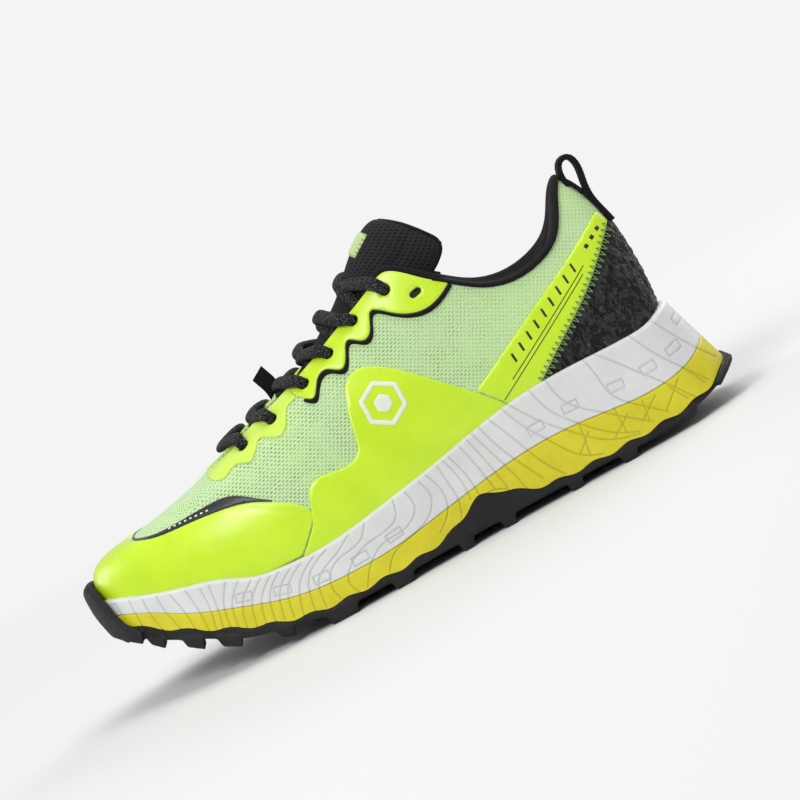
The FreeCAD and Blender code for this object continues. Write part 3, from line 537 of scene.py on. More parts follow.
# The ribs of the CAD upper: foot bed point, two handles and top edge point, as (x, half width, z).
RIBS = [
    [(-142.5, 0, 39), (-151, 0, 78), (-124, 0, 57), (-75, 0, 78.2)],
    [(-136, 16, 37.5), (-144, 19, 74), (-119, 16, 60), (-72, 8, 78.6)],
    [(-117, 31, 32.5), (-122, 36.5, 68), (-101, 26, 66), (-62, 14, 81.3)],
    [(-93, 41, 27.5), (-94, 47.5, 62), (-74, 31, 74), (-48, 16.5, 87)],
    [(-65, 46, 24.5), (-63, 52, 58), (-46, 33, 83), (-33, 17.5, 92)],
    [(-38, 44.7, 24), (-34, 49, 60), (-22, 32, 91), (-14, 18.5, 99.2)],
    [(-14, 40, 25.5), (-10, 44, 60), (-2, 31, 97), (4, 19.5, 107.5)],
    [(8, 35.5, 28), (11, 40.5, 62), (18, 29.5, 101), (21, 20.5, 115.5)],
    [(22, 33.3, 29.5), (25, 39.5, 64), (31, 30, 102), (32, 22.5, 119.3)],
    [(37, 32.2, 31), (39, 39, 62), (42, 30.5, 94), (43, 27, 111)],
    [(52, 31.8, 32.5), (53, 39, 58), (53, 31, 86), (53, 29, 103)],
    [(68, 32, 33.5), (68, 38.5, 56), (66, 32, 78), (64.5, 30, 95)],
    [(84, 32.5, 34.5), (84, 38.7, 55), (80, 32, 74), (79, 29.5, 91.3)],
    [(100, 31.5, 35), (102, 37.6, 56), (97, 30, 76), (94, 26.5, 94)],
    [(113, 26.5, 35.5), (117, 32, 58), (109, 24, 82), (104.5, 19.5, 102)],
    [(122.5, 16, 36), (128, 20, 62), (122, 14, 96), (111, 10.5, 114)],
    [(127, 0, 36), (132.5, 0, 66), (130, 0, 105), (114.5, 0, 119)],
]
HEEL = len(RIBS) - 1
TOE_END = 2 * HEEL
# The shoe's middle line from above: it swings toward the medial side at the toe.
middle = HeightLine(
    (-151, 8), (-120, 5.5), (-90, 2), (-58, -0.8), (-20, -4), (10, -5), (50, -3.8), (95, -0.8), (150, 0),
)


def full_ring(row):
    lateral = [(x, -y, z) for x, y, z in (rib[row] for rib in RIBS)]
    medial = [(x, -y, z) for x, y, z in reversed(lateral[1:-1])]
    return Spline(lateral + medial, range(TOE_END + 1), closed=True)


RINGS = [full_ring(row) for row in range(4)]


def form(u, v):
    """Points of the upper's outer face."""
    u, v = np.broadcast_arrays(np.asarray(u, float), np.asarray(v, float))
    a, b, c, d = (ring(u % TOE_END) for ring in RINGS)
    v = v[..., None]
    w = 1 - v
    p = a * w**3 + b * 3 * w * w * v + c * 3 * w * v * v + d * v**3
    p[..., 1] += middle(p[..., 0])
    return p


def outward(u, v):
    """Unit normals of the form, away from the foot."""
    step = 0.02
    u, v = np.asarray(u, float), np.asarray(v, float)
    along = form(u + step, v) - form(u - step, v)
    up = form(u, v + step) - form(u, v - step)
    return -unit(np.cross(up, along))


def offset(u, v, distance):
    return form(u, v) + outward(u, v) * np.asarray(distance, float)[..., None]


def on_form(spots):
    """The lateral (u, v) of side-view spots (x, z)."""
    spots = np.asarray(spots, float).reshape(-1, 2)
    grid = np.meshgrid(np.linspace(0.15, HEEL - 0.15, 160), np.linspace(0.02, 1.0, 70))
    us, vs = (axis.ravel() for axis in grid)
    seen = form(us, vs)[:, [0, 2]]
    nearest = np.array([np.argmin(((seen - spot) ** 2).sum(1)) for spot in spots])
    u, v = us[nearest], vs[nearest]
    for _ in range(6):
        p = form(u, v)
        du = (form(u + 0.01, v) - p) * 100
        dv = (form(u, v + 0.01) - p) * 100
        det = du[:, 0] * dv[:, 2] - du[:, 2] * dv[:, 0]
        ex, ez = spots[:, 0] - p[:, 0], spots[:, 1] - p[:, 2]
        u = u + (ex * dv[:, 2] - ez * dv[:, 0]) / det
        v = v + (du[:, 0] * ez - du[:, 2] * ex) / det
    return u, v


# ---------------------------------------------------------------- meshes

# The tables here are drawn about the arch, as in the CAD; this carries them to the frame's origin.
CENTRING = np.array([2.25, 0.95, 0.0])


def make_piece(name, points, faces, material, uv=None, attributes=None, body="shoe", replaced=()):
    """A smooth mesh piece from points in millimetres, on its body and with its material."""
    mesh = bpy.data.meshes.new(name)
    mesh.from_pydata(((np.asarray(points, float) + CENTRING) * MM).tolist(), [], faces)
    mesh.materials.append(MATERIALS[material])
    if uv is not None:
        layer = mesh.uv_layers.new(name="UVMap")
        corner = np.zeros(len(mesh.loops), np.int32)
        mesh.loops.foreach_get("vertex_index", corner)
        layer.data.foreach_set("uv", (np.asarray(uv, float)[corner] * MM).ravel())
    for key, values in (attributes or {}).items():
        layer = mesh.attributes.new(key, "FLOAT", "POINT")
        layer.data.foreach_set("value", np.asarray(values, np.float32))
    mesh.shade_smooth()
    piece = add_object(name, mesh)
    if body:
        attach(piece, body)
    if replaced:
        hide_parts(*replaced)
    return piece


def grid_faces(rows, columns, wrap=False, first=0):
    """Quads over rows x columns of points; wrap joins the last column to the first."""
    faces = []
    for i in range(rows - 1):
        for j in range(columns if wrap else columns - 1):
            k = (j + 1) % columns
            a, b = first + i * columns + j, first + i * columns + k
            faces.append((a, b, b + columns, a + columns))
    return faces


def sweep(path, across, up, section, scale=None):
    """A closed bar: the section (side, height) carried along the path, with flat caps."""
    section = np.asarray(section, float)
    scale = np.ones((len(path), 2)) if scale is None else scale
    rings = path[:, None] + across[:, None] * (section[:, 0] * scale[:, :1])[..., None]
    rings = rings + up[:, None] * (section[:, 1] * scale[:, 1:])[..., None]
    rows, columns = len(path), len(section)
    faces = grid_faces(rows, columns, wrap=True)
    faces.append(tuple(reversed(range(columns))))
    faces.append(tuple(range((rows - 1) * columns, rows * columns)))
    uv = np.stack([np.repeat(travelled(path), columns), np.tile(travelled(section), rows)], 1)
    return rings.reshape(-1, 3), faces, uv


def bar(name, path, across, up, section, material, scale=None, **more):
    points, faces, uv = sweep(path, across, up, section, scale)
    return make_piece(name, points, faces, material, uv, **more)


def closed_pad(top, bottom):
    """Two grids of points, one below the other, joined round their rims into a closed form."""
    rows, columns = top.shape[:2]
    below = rows * columns
    faces = [f[::-1] for f in grid_faces(rows, columns)] + grid_faces(rows, columns, first=below)
    rim = [(0, j) for j in range(columns)] + [(i, columns - 1) for i in range(1, rows)]
    rim += [(rows - 1, j) for j in range(columns - 2, -1, -1)] + [(i, 0) for i in range(rows - 2, 0, -1)]
    ids = [i * columns + j for i, j in rim]
    for a, b in zip(ids, ids[1:] + ids[:1]):
        faces.append((a, b, below + b, below + a))
    return np.concatenate([top.reshape(-1, 3), bottom.reshape(-1, 3)]), faces


def oval(width, height, count=20, power=1.0):
    """A closed section; a power under 1 makes it squarer."""
    turns = np.linspace(0, 2 * math.pi, count, endpoint=False)
    sides = [(np.cos(turns), width), (np.sin(turns), height)]
    return np.stack([np.sign(share) * np.abs(share) ** power * size / 2 for share, size in sides], 1)


# ---------------------------------------------------------------- patches of the form


def polyline_distance(points, line, closed=True):
    """Distance from each point to a polyline, in the line's own plane."""
    line = np.asarray(line, float)
    ends = np.roll(line, -1, axis=0) if closed else line[1:]
    starts = line if closed else line[:-1]
    best = np.full(len(points), 1e9)
    for a, b in zip(starts, ends):
        run = b - a
        share = np.clip(((points - a) @ run) / max(run @ run, 1e-12), 0, 1)
        gap = points - a - share[:, None] * run
        best = np.minimum(best, (gap * gap).sum(1))
    return np.sqrt(best)


def is_inside(points, outline):
    """Whether each point lies in the closed outline, by crossings to its right."""
    inside = np.zeros(len(points), bool)
    for (ax, az), (bx, bz) in zip(outline, np.roll(outline, -1, axis=0)):
        if az == bz:
            continue
        spans = (az > points[:, 1]) != (bz > points[:, 1])
        crossing = ax + (points[:, 1] - az) * (bx - ax) / (bz - az)
        inside ^= spans & (points[:, 0] < crossing)
    return inside


def side_region(outline):
    """A field: how far inside the side-view outline a point is, in millimetres."""
    outline = np.asarray(outline, float)

    def field(points):
        seen = points.reshape(-1, 3)[:, [0, 2]]
        depth = polyline_distance(seen, outline)
        depth = np.where(is_inside(seen, outline), depth, -depth)
        return depth.reshape(points.shape[:-1])

    return field


def smooth_run(points, step=1.0):
    """Points about a step apart on a smooth curve through the given ones."""
    if len(points) == 2:
        return np.asarray(points, float)
    curve = Spline(points)
    return curve.even(max(int(curve.length / step), 2))


def level_loops(field, level):
    """The closed level lines of a grid, as fractional (row, column) points."""
    above = field > level
    corner_sum = above[:-1, :-1].astype(int) + above[1:, :-1] + above[:-1, 1:] + above[1:, 1:]
    links = {}
    for i, j in zip(*np.nonzero((corner_sum > 0) & (corner_sum < 4))):
        corners = [(i, j), (i + 1, j), (i + 1, j + 1), (i, j + 1)]
        crossed = []
        for a, b in zip(corners, corners[1:] + corners[:1]):
            if above[a] != above[b]:
                crossed.append((min(a, b), max(a, b)))
        for one, two in zip(crossed[::2], crossed[1::2]):
            links.setdefault(one, []).append(two)
            links.setdefault(two, []).append(one)
    loops = []
    while links:
        here = next(iter(links))
        loop = []
        while here in links:
            loop.append(here)
            onward = [k for k in links.pop(here) if k in links]
            if not onward:
                break
            here = onward[0]
        spots = []
        for a, b in loop:
            share = (level - field[a]) / (field[b] - field[a])
            spots.append((a[0] + (b[0] - a[0]) * share, a[1] + (b[1] - a[1]) * share))
        if len(spots) > 8:
            loops.append(np.array(spots))
    return loops


U_STEP = 0.03
V_STEP = 0.006
V_TO_U = 5.0


def at_grid(values, spots):
    """Bilinear values of a grid at fractional (row, column) spots."""
    i = np.clip(spots[:, 0].astype(int), 0, values.shape[0] - 2)
    j = np.clip(spots[:, 1].astype(int), 0, values.shape[1] - 2)
    a, b = spots[:, 0] - i, spots[:, 1] - j
    if values.ndim == 3:
        a, b = a[:, None], b[:, None]
    low = values[i, j] * (1 - b) + values[i, j + 1] * b
    high = values[i + 1, j] * (1 - b) + values[i + 1, j + 1] * b
    return low * (1 - a) + high * a


class Patch:
    """A region of the form, cut along a field's zero line and meshed with rings that follow its edge."""

    def __init__(self, u_range, v_range, field, spacing=1.4, edge=0.45):
        us = np.arange(u_range[0] - 0.09, u_range[1] + 0.09, U_STEP)
        vs = np.arange(v_range[0] - 0.012, v_range[1] + 0.012, V_STEP)
        grid_u, grid_v = np.meshgrid(us, vs, indexing="ij")
        points = form(grid_u, grid_v)
        depth = field(points)
        along = np.linalg.norm(np.gradient(points, axis=0), axis=2) / U_STEP
        climb = np.linalg.norm(np.gradient(points, axis=1), axis=2) / V_STEP
        limits = [(grid_u - u_range[0]) * along, (u_range[1] - grid_u) * along]
        limits += [(grid_v - v_range[0]) * climb, (v_range[1] - grid_v) * climb]
        self.depth = np.minimum(depth, np.minimum.reduce(limits))
        self.edge = edge
        spots, edges, depths = [], [], []
        for level in (0.0, 0.3 * edge, edge):
            for loop in level_loops(self.depth, level):
                kept = self.respaced(at_grid(points, loop), loop, min(spacing, 1.0))
                first = sum(len(s) for s in spots)
                count = len(kept)
                edges += [(first + i, first + (i + 1) % count) for i in range(count)]
                spots.append(kept)
                depths.append(np.full(count, level))
        spots.append(self.inner_spots(points, spacing))
        depths.append(at_grid(self.depth, spots[-1]))
        spots, depths = np.vstack(spots), np.concatenate(depths)
        flat = [Vector((a * U_STEP, b * V_STEP * V_TO_U)) for a, b in spots]
        made = delaunay_2d_cdt(flat, edges, [], 0, 1e-7)
        places = np.array([tuple(p) for p in made[0]])
        self.spots = np.stack([places[:, 0] / U_STEP, places[:, 1] / (V_STEP * V_TO_U)], 1)
        origin = [ids[0] if ids else -1 for ids in made[3]]
        looked_up = at_grid(self.depth, self.spots)
        self.inset = np.array([depths[o] if o >= 0 else looked_up[k] for k, o in enumerate(origin)])
        faces = np.array([f for f in made[2] if len(f) == 3])
        centres = self.spots[faces].mean(1)
        faces = faces[at_grid(self.depth, centres) > 0]
        used = np.unique(faces)
        renumber = np.full(len(self.spots), -1)
        renumber[used] = np.arange(len(used))
        self.faces = renumber[faces]
        self.spots, self.inset = self.spots[used], self.inset[used]
        self.u = us[0] + self.spots[:, 0] * U_STEP
        self.v = vs[0] + self.spots[:, 1] * V_STEP

    @staticmethod
    def respaced(points, spots, step):
        """The loop's spots thinned to about a step apart on the surface."""
        reach = travelled(np.vstack([points, points[:1]]))
        count = max(int(reach[-1] / step), 6)
        stations = np.linspace(0, reach[-1], count, endpoint=False)
        looped = np.vstack([spots, spots[:1]])
        return np.stack([np.interp(stations, reach, looped[:, k]) for k in (0, 1)], 1)

    def inner_spots(self, points, spacing):
        """Staggered rows of spots inside the edge rings, about a spacing apart."""
        along = np.median(np.linalg.norm(np.diff(points, axis=0), axis=2)[self.depth[:-1] > 0])
        climb = np.median(np.linalg.norm(np.diff(points, axis=1), axis=2)[self.depth[:, :-1] > 0])
        step_i, step_j = max(spacing / along, 1), max(spacing / climb, 1)
        rows = []
        for k, i in enumerate(np.arange(1, self.depth.shape[0] - 1, step_i)):
            js = np.arange(1 + (k % 2) * step_j / 2, self.depth.shape[1] - 1, step_j)
            rows.append(np.stack([np.full(len(js), i), js], 1))
        spots = np.vstack(rows)
        return spots[at_grid(self.depth, spots) > self.edge + 0.4 * spacing]

    def piece(self, name, material, low, thickness, relief=None, mirrored=False, replaced=()):
        """The patch as a closed piece: an even underside and a top that is rounded down at its edge."""
        u = TOE_END - self.u if mirrored else self.u
        curl = np.clip(self.inset / self.edge, 0, 1)
        rise = thickness * np.sqrt(np.maximum(1 - (1 - curl) ** 2, 0))
        surface = form(u, self.v)
        normals = outward(u, self.v)
        if relief is not None:
            rise = rise + relief(surface, self.inset) * curl
        top = surface + normals * (low + rise)[:, None]
        bottom = surface + normals * low
        on_rim = self.inset <= 1e-6
        under = np.where(on_rim, np.arange(len(top)), np.cumsum(~on_rim) - 1 + len(top))
        points = np.vstack([top, bottom[~on_rim]])
        faces = self.faces if not mirrored else self.faces[:, ::-1]
        everything = [tuple(f) for f in faces] + [tuple(f) for f in under[faces][:, ::-1]]
        # The distance in from the rim; the film materials use it to paint a highlight along the edge.
        edge = np.clip(np.concatenate([self.inset, self.inset[~on_rim]]), 0, EDGE_REACH)
        make_piece(name, points, everything, material, points[:, [0, 2]], {"edge": edge}, replaced=replaced)


# ---------------------------------------------------------------- the knit and the welded films

SIDES = ("lateral", "medial")
EYELETS = [(-56, 81), (-40, 85.4), (-21, 92.3), (-6, 98.8), (9.5, 106.3), (27.5, 111.5)]
SPARE_EYELET = (38.3, 104.5)
EYELET_U, EYELET_V = on_form(EYELETS)
SPARE_LEAN = math.radians(15)
SLOT = np.array([math.cos(SPARE_LEAN), 0, math.sin(SPARE_LEAN)])
# Each lateral hole: its centre, its radius and half the length of its slot.
HOLES = [(centre, 2.5, 0) for centre in form(EYELET_U, EYELET_V)]
HOLES.append((form(*on_form([SPARE_EYELET]))[0], 1.5, 1.3))
COLLAR_RIB = 9.5
FILM_LOW = -0.15
FILM = 1.05
KNIT = 1.6
PIPING = 1.7
STRAP_FILM = 1.3

TOE_CAP_EDGE = [
    (-119, 66.5), (-108, 64.4), (-95, 63.8), (-75, 62.5), (-66, 60.8), (-55, 56), (-46, 50),
    (-43, 45.5), (-46, 40), (-55, 31),
]
STRIPE_TOP = [(-119.3, 67.2), (-108, 65.7), (-95, 66.1), (-80, 67), (-71, 66.4), (-62, 61.6), (-54.2, 56.4)]
SIDE_OVERLAY_EDGE = [
    (-42.7, 46.6), (-38, 55.3), (-28, 55.9), (-20, 55), (-15, 57.5), (-12, 67), (-9, 78), (-5, 85.5),
    (1, 88), (8, 86), (20, 77), (32, 65), (41, 56), (50, 46),
]
STRAP_TOP = [(41.4, 56.6), (60, 66), (80, 76), (100, 85.5), (123, 97.5)]
STRAP_BOTTOM = [(126, 91.5), (110, 77), (97, 67), (82, 57), (66, 45.5)]
LOWER_EYESTAY_EDGE = [
    (-77, 76.6), (-70, 73.2), (-62, 76), (-57, 74.5), (-52, 77.5), (-48.5, 81), (-41, 78.3),
    (-36, 80.5), (-32, 87), (-26, 89),
]
UPPER_EYESTAY_EDGE = [
    (-27, 90.6), (-20, 85.6), (-14.5, 92), (-10, 93.5), (-4, 90.6), (0, 94.5), (4, 100), (10, 96.8),
    (14, 99), (18.5, 106.3), (24, 103), (31, 98.3), (39, 96.5), (46, 98), (53, 101.8),
]
BINDING_WIDTH = 2.0


def outline(*runs):
    """A closed outline from runs of points, each drawn smooth."""
    return np.vstack([smooth_run(run) for run in runs])


def over(edge, ceiling):
    return outline(edge, [(edge[-1][0], ceiling), (edge[0][0], ceiling)])


def lowered(edge, drop):
    return [(x + 0.3, z - drop) for x, z in edge]


def clear_of_holes(points):
    """How far points are outside every eyelet, in millimetres; the spare one is a short slot."""
    best = np.full(points.shape[:-1], 1e9)
    for centre, radius, reach in HOLES:
        across = 2 * middle(centre[0]) - centre[1]
        for there in (centre, (centre[0], across, centre[2])):
            gap = points - there
            share = np.clip(gap @ SLOT, -reach, reach)
            gap = gap - share[..., None] * SLOT
            best = np.minimum(best, np.linalg.norm(gap, axis=-1) - radius)
    return best


def both(*fields):
    return lambda points: np.minimum.reduce([field(points) for field in fields])


def outside(field):
    return lambda points: -field(points)


def make_knit():
    patch = Patch((-HEEL + 0.02, HEEL - 0.02), (0.0, 0.985), clear_of_holes, spacing=2.2, edge=0.8)
    patch.piece("mesh_upper", "mesh_knit", -KNIT, KNIT,
                replaced=("mesh_vamp", "mesh_quarter_lateral", "mesh_quarter_medial"))


PRESS_LINE = 2.5
PRESS_WIDTH = 0.45
PRESS_DEPTH = 0.3


def pressed_line(points, inset):
    """A shallow line that runs inside the film's rear edge."""
    return -PRESS_DEPTH * bell(inset - PRESS_LINE, PRESS_WIDTH) * ramp(points[:, 0], -80, -68)


CRINKLE = 0.8
CRINKLE_SEED = 5


def crinkle(points, _):
    """Crushed film: ridges that wander, longer up the panel than round it."""
    noise.seed_set(CRINKLE_SEED)
    rises = []
    for p in points:
        bent = Vector((p[0] + 0.6 * p[2], p[1], 0.5 * p[2])) + noise.noise_vector(Vector(p) / 7.0) * 4.0
        ridge = 1 - abs(noise.noise(bent / 4.2)) * 2.4
        rises.append(CRINKLE * max(ridge, 0) ** 1.5 - 0.3)
    return np.array(rises)


def make_films():
    toe_outline = outline(TOE_CAP_EDGE, [(-160, 31), (-160, 66.5)])
    toe = Patch((-6.6, 6.6), (0.02, 0.985), side_region(toe_outline), spacing=1.1)
    toe.piece("toe_cap_film", "lime_film", FILM_LOW, FILM, pressed_line, replaced=("toe_cap",))
    cap_back = [(-119, 66.7)] + [(x + 0.1, z + 0.2) for x, z in TOE_CAP_EDGE[1:6]]
    stripe = Patch((-6.6, 6.6), (0.06, 0.985), side_region(outline(STRIPE_TOP, cap_back[::-1])), 1.2, 0.3)
    stripe.piece("toe_stripe_film", "black_film", FILM_LOW, 0.8, replaced=("toe_stripe",))
    heel_top = [(x, z - 0.2) for x, z in STRAP_BOTTOM[::-1]]
    heel_outline = outline(heel_top, [(140, 91.3), (140, 30), (66.3, 30)])
    heel = Patch((HEEL - 5.5, HEEL + 5.5), (0.02, 0.93), side_region(heel_outline), 0.8)
    heel.piece("heel_panel_film", "crushed_film", FILM_LOW, FILM, crinkle, replaced=("heel_panel",))
    flank_outline = outline(SIDE_OVERLAY_EDGE, [(50, 20), (-66, 20), (-54.3, 31), (-45.4, 40)])
    flank = Patch((2.3, 12.5), (0.02, 0.96), side_region(flank_outline), 1.5)
    strap_outline = outline(STRAP_TOP, STRAP_BOTTOM, [(66, 20), (50.3, 20), (50.3, 46)])
    strap = Patch((8, 15.98), (0.02, 0.94), side_region(strap_outline), 1.5)
    upper_zone = side_region(over(UPPER_EYESTAY_EDGE, 135))
    bound_zone = side_region(over(lowered(UPPER_EYESTAY_EDGE, BINDING_WIDTH), 134))
    lower_zone = side_region(over(LOWER_EYESTAY_EDGE, 130))
    stay = ((0.6, 10.4), (0.55, 0.975))
    upper = Patch(*stay, both(upper_zone, clear_of_holes), 1.3)
    lower = Patch(*stay, both(lower_zone, outside(bound_zone), clear_of_holes), 1.3)
    piping = Patch(*stay, both(bound_zone, outside(upper_zone), clear_of_holes), 0.9, 0.9)
    pairs = [
        (flank, "side_film", "lime_film", FILM, "side_overlay"),
        (strap, "strap_film", "lime_film", STRAP_FILM, "heel_strap"),
        (upper, "upper_stay", "lime_film", FILM, "eyestay_upper"),
        (lower, "lower_stay", "pale_lime_film", FILM, "eyestay_lower"),
        (piping, "stay_piping", "black_cloth", PIPING, "eyestay_binding"),
    ]
    for side in SIDES:
        for patch, name, material, thickness, node in pairs:
            patch.piece(f"{name}_{side}", material, FILM_LOW, thickness, mirrored=side == "medial",
                        replaced=(f"{node}_{side}",))


# ---------------------------------------------------------------- prints, threads and the badge


def ribbon(name, runs, width, thickness, low, material, side="lateral"):
    """Flat or round lines laid on the form along side-view runs of (x, z)."""
    points, faces, uvs = [], [], []
    section = oval(width, thickness, 10)
    for run in runs:
        u, v = on_form(run)
        if side == "medial":
            u = TOE_END - u
        normals = outward(u, v)
        path = form(u, v) + normals * low
        across = unit(np.cross(normals, headings(path)))
        made, quads, uv = sweep(path, across, normals, section)
        first = sum(len(p) for p in points)
        points.append(made)
        faces += [tuple(first + k for k in face) for face in quads]
        uvs.append(uv)
    make_piece(name, np.vstack(points), faces, material, np.vstack(uvs))


FILM_TOP = FILM_LOW + FILM
PRINT_LOW = FILM_TOP + 0.25
STRAP_DROP = math.radians(27.5)
PINSTRIPES = [((50, 47.5), (104, 77.5), 40), ((57, 53.5), (106, 80.5), 36)]
BAR_START = (62, 59.2)
BAR_STEP = 5.6
BAR_COUNT = 9
SQUARE_STARTS = [(110.5, 86.4), (114.5, 88.5), (118.5, 90.6)]
DASH_LINE = [(-101, 65.1), (-91, 65.1), (-81, 64.9)]


def make_prints():
    """Pinstripes, plain slanted bars and three squares on the strap, and dashes on the toe stripe."""
    stripes = [np.linspace(*stripe) for stripe in PINSTRIPES]
    bars = []
    for k in range(BAR_COUNT):
        x = BAR_START[0] + BAR_STEP * k * math.cos(STRAP_DROP)
        z = BAR_START[1] + BAR_STEP * k * math.sin(STRAP_DROP)
        bars.append(np.linspace((x, z), (x - 0.4, z + 4.0), 5))
    squares = [np.linspace((x, z), (x + 1.6, z + 0.8), 4) for x, z in SQUARE_STARTS]
    ribbon("strap_pinstripes", stripes, 0.42, 0.22, PRINT_LOW, "black_print")
    ribbon("strap_bars", bars, 1.1, 0.24, PRINT_LOW, "black_print")
    ribbon("strap_squares", squares, 1.8, 0.24, PRINT_LOW, "black_print")
    line = smooth_run(DASH_LINE, 0.5)
    dashes = [line[k : k + 3] for k in range(1, len(line) - 3, 5)]
    ribbon("toe_dashes", dashes, 0.8, 0.2, 0.72, "pale_print")


ZIGZAG_PITCH = 2.7
ZIGZAG_REACH = 2.8
ZIGZAG_SPAN = (67.5, 124.5)


def make_threads():
    """The zigzag seam that holds the strap's lower edge down over the heel panel."""
    edge = smooth_run(STRAP_BOTTOM, 0.25)
    normal = np.gradient(edge, axis=0)[:, ::-1] * (1, -1)
    phase = np.abs((travelled(edge) / ZIGZAG_PITCH) % 1 - 0.5) * 4 - 1
    seam = edge + unit(normal) * (phase * ZIGZAG_REACH)[:, None]
    shown = seam[(edge[:, 0] > ZIGZAG_SPAN[0]) & (edge[:, 0] < ZIGZAG_SPAN[1])]
    for side in SIDES:
        ribbon(f"strap_thread_{side}", [shown], 0.45, 0.42, FILM_TOP + 0.38, "green_thread", side)


BADGE_CENTRE = (4.5, 70.5)
BADGE_RADIUS = 10.3
BADGE_BAND = 2.2
SPOT_RADIUS = BADGE_RADIUS * 0.4


def hexagon(radius):
    turns = [math.radians(60 * k + 30) for k in range(6)]
    return [(BADGE_CENTRE[0] + radius * math.cos(a), BADGE_CENTRE[1] + radius * math.sin(a)) for a in turns]


def make_badge():
    """A plain six-sided ring with a six-sided dot."""
    u, v = (float(value[0]) for value in on_form([BADGE_CENTRE]))
    around = ((u - 1.6, u + 1.6), (v - 0.25, v + 0.25))
    radii = (BADGE_RADIUS, BADGE_RADIUS - BADGE_BAND, SPOT_RADIUS)
    full, hole, spot = (side_region(hexagon(radius)) for radius in radii)
    for name, field, node in (("band", both(full, outside(hole)), "ring"), ("spot", spot, "dot")):
        patch = Patch(*around, field, 0.8, 0.25)
        patch.piece(f"badge_{name}", "pale_print", FILM_TOP - 0.05, 0.35, replaced=(f"badge_{node}",))


# ---------------------------------------------------------------- the midsole

TREAD_HALVES = [
    (-151, 0), (-147.5, 15), (-137, 28.5), (-120, 39), (-100, 46.8), (-80, 51), (-58, 53.5),
    (-38, 51.5), (-14, 46.5), (8, 42), (30, 39.5), (52, 39), (75, 40), (98, 41), (116, 38.5),
    (131, 32.5), (142.5, 22), (148, 10.5), (149.5, 0),
]
RIM_HALVES = [
    (-146, 0), (-142.5, 14), (-133, 26), (-118, 36.6), (-96, 45.2), (-78, 48.8), (-58, 50.5), (-38, 49),
    (-14, 44.3), (8, 40.2), (30, 37.6), (52, 37), (75, 37.5), (95, 37.3), (108, 34), (119.5, 26.5),
    (127.5, 16), (130.8, 7.5), (131.8, 0),
]
RIM_LEVEL = 52.0
ENDS = (-165, 165)
tread_base = HeightLine(
    (-165, 47), (-150, 43), (-137, 36.5), (-118, 27), (-96, 17.6), (-78, 11.6), (-60, 8), (-40, 7),
    (-16, 7.2), (0, 8.9), (12, 13.4), (23, 17.3), (34, 13.4), (46, 8.6), (60, 7), (90, 7), (112, 8),
    (130, 10.6), (142, 15.5), (150, 21), (165, 24),
)
lower_top = HeightLine(
    (-140, 42), (-124, 37.5), (-108, 30.5), (-90, 24.7), (-70, 19), (-50, 16.2), (-35, 15.8),
    (-20, 16.2), (0, 18.6), (20, 21.5), (40, 24), (60, 25), (80, 23.8), (100, 21.8), (115, 22),
    (130, 25), (141, 29.5), ends=ENDS,
)
rim_top = HeightLine(
    (-141, 49), (-124, 45), (-105, 41), (-90, 37.5), (-78, 32.8), (-65, 31), (-50, 30.3), (-30, 31.8),
    (-10, 34.8), (10, 38), (30, 42), (50, 45.4), (75, 47), (90, 46.7), (110, 46), (120, 46.3),
    (130, 48.7), ends=ENDS,
)
foot_bed = HeightLine(*[(rib[0][0], rib[0][2]) for rib in RIBS if rib[0][1] > 10], ends=ENDS)
WAVE_LENGTH = 16.7
WAVE_HEIGHT = 0.7


def tread_top(x):
    return tread_base(x) + WAVE_HEIGHT * np.sin(2 * math.pi * x / WAVE_LENGTH)


def plan_ring(halves):
    lateral = [(x, middle(x) - y) for x, y in halves]
    medial = [(x, middle(x) + y) for x, y in reversed(halves[1:-1])]
    return Spline(lateral + medial, closed=True)


TREAD_RING, RIM_RING = plan_ring(TREAD_HALVES), plan_ring(RIM_HALVES)

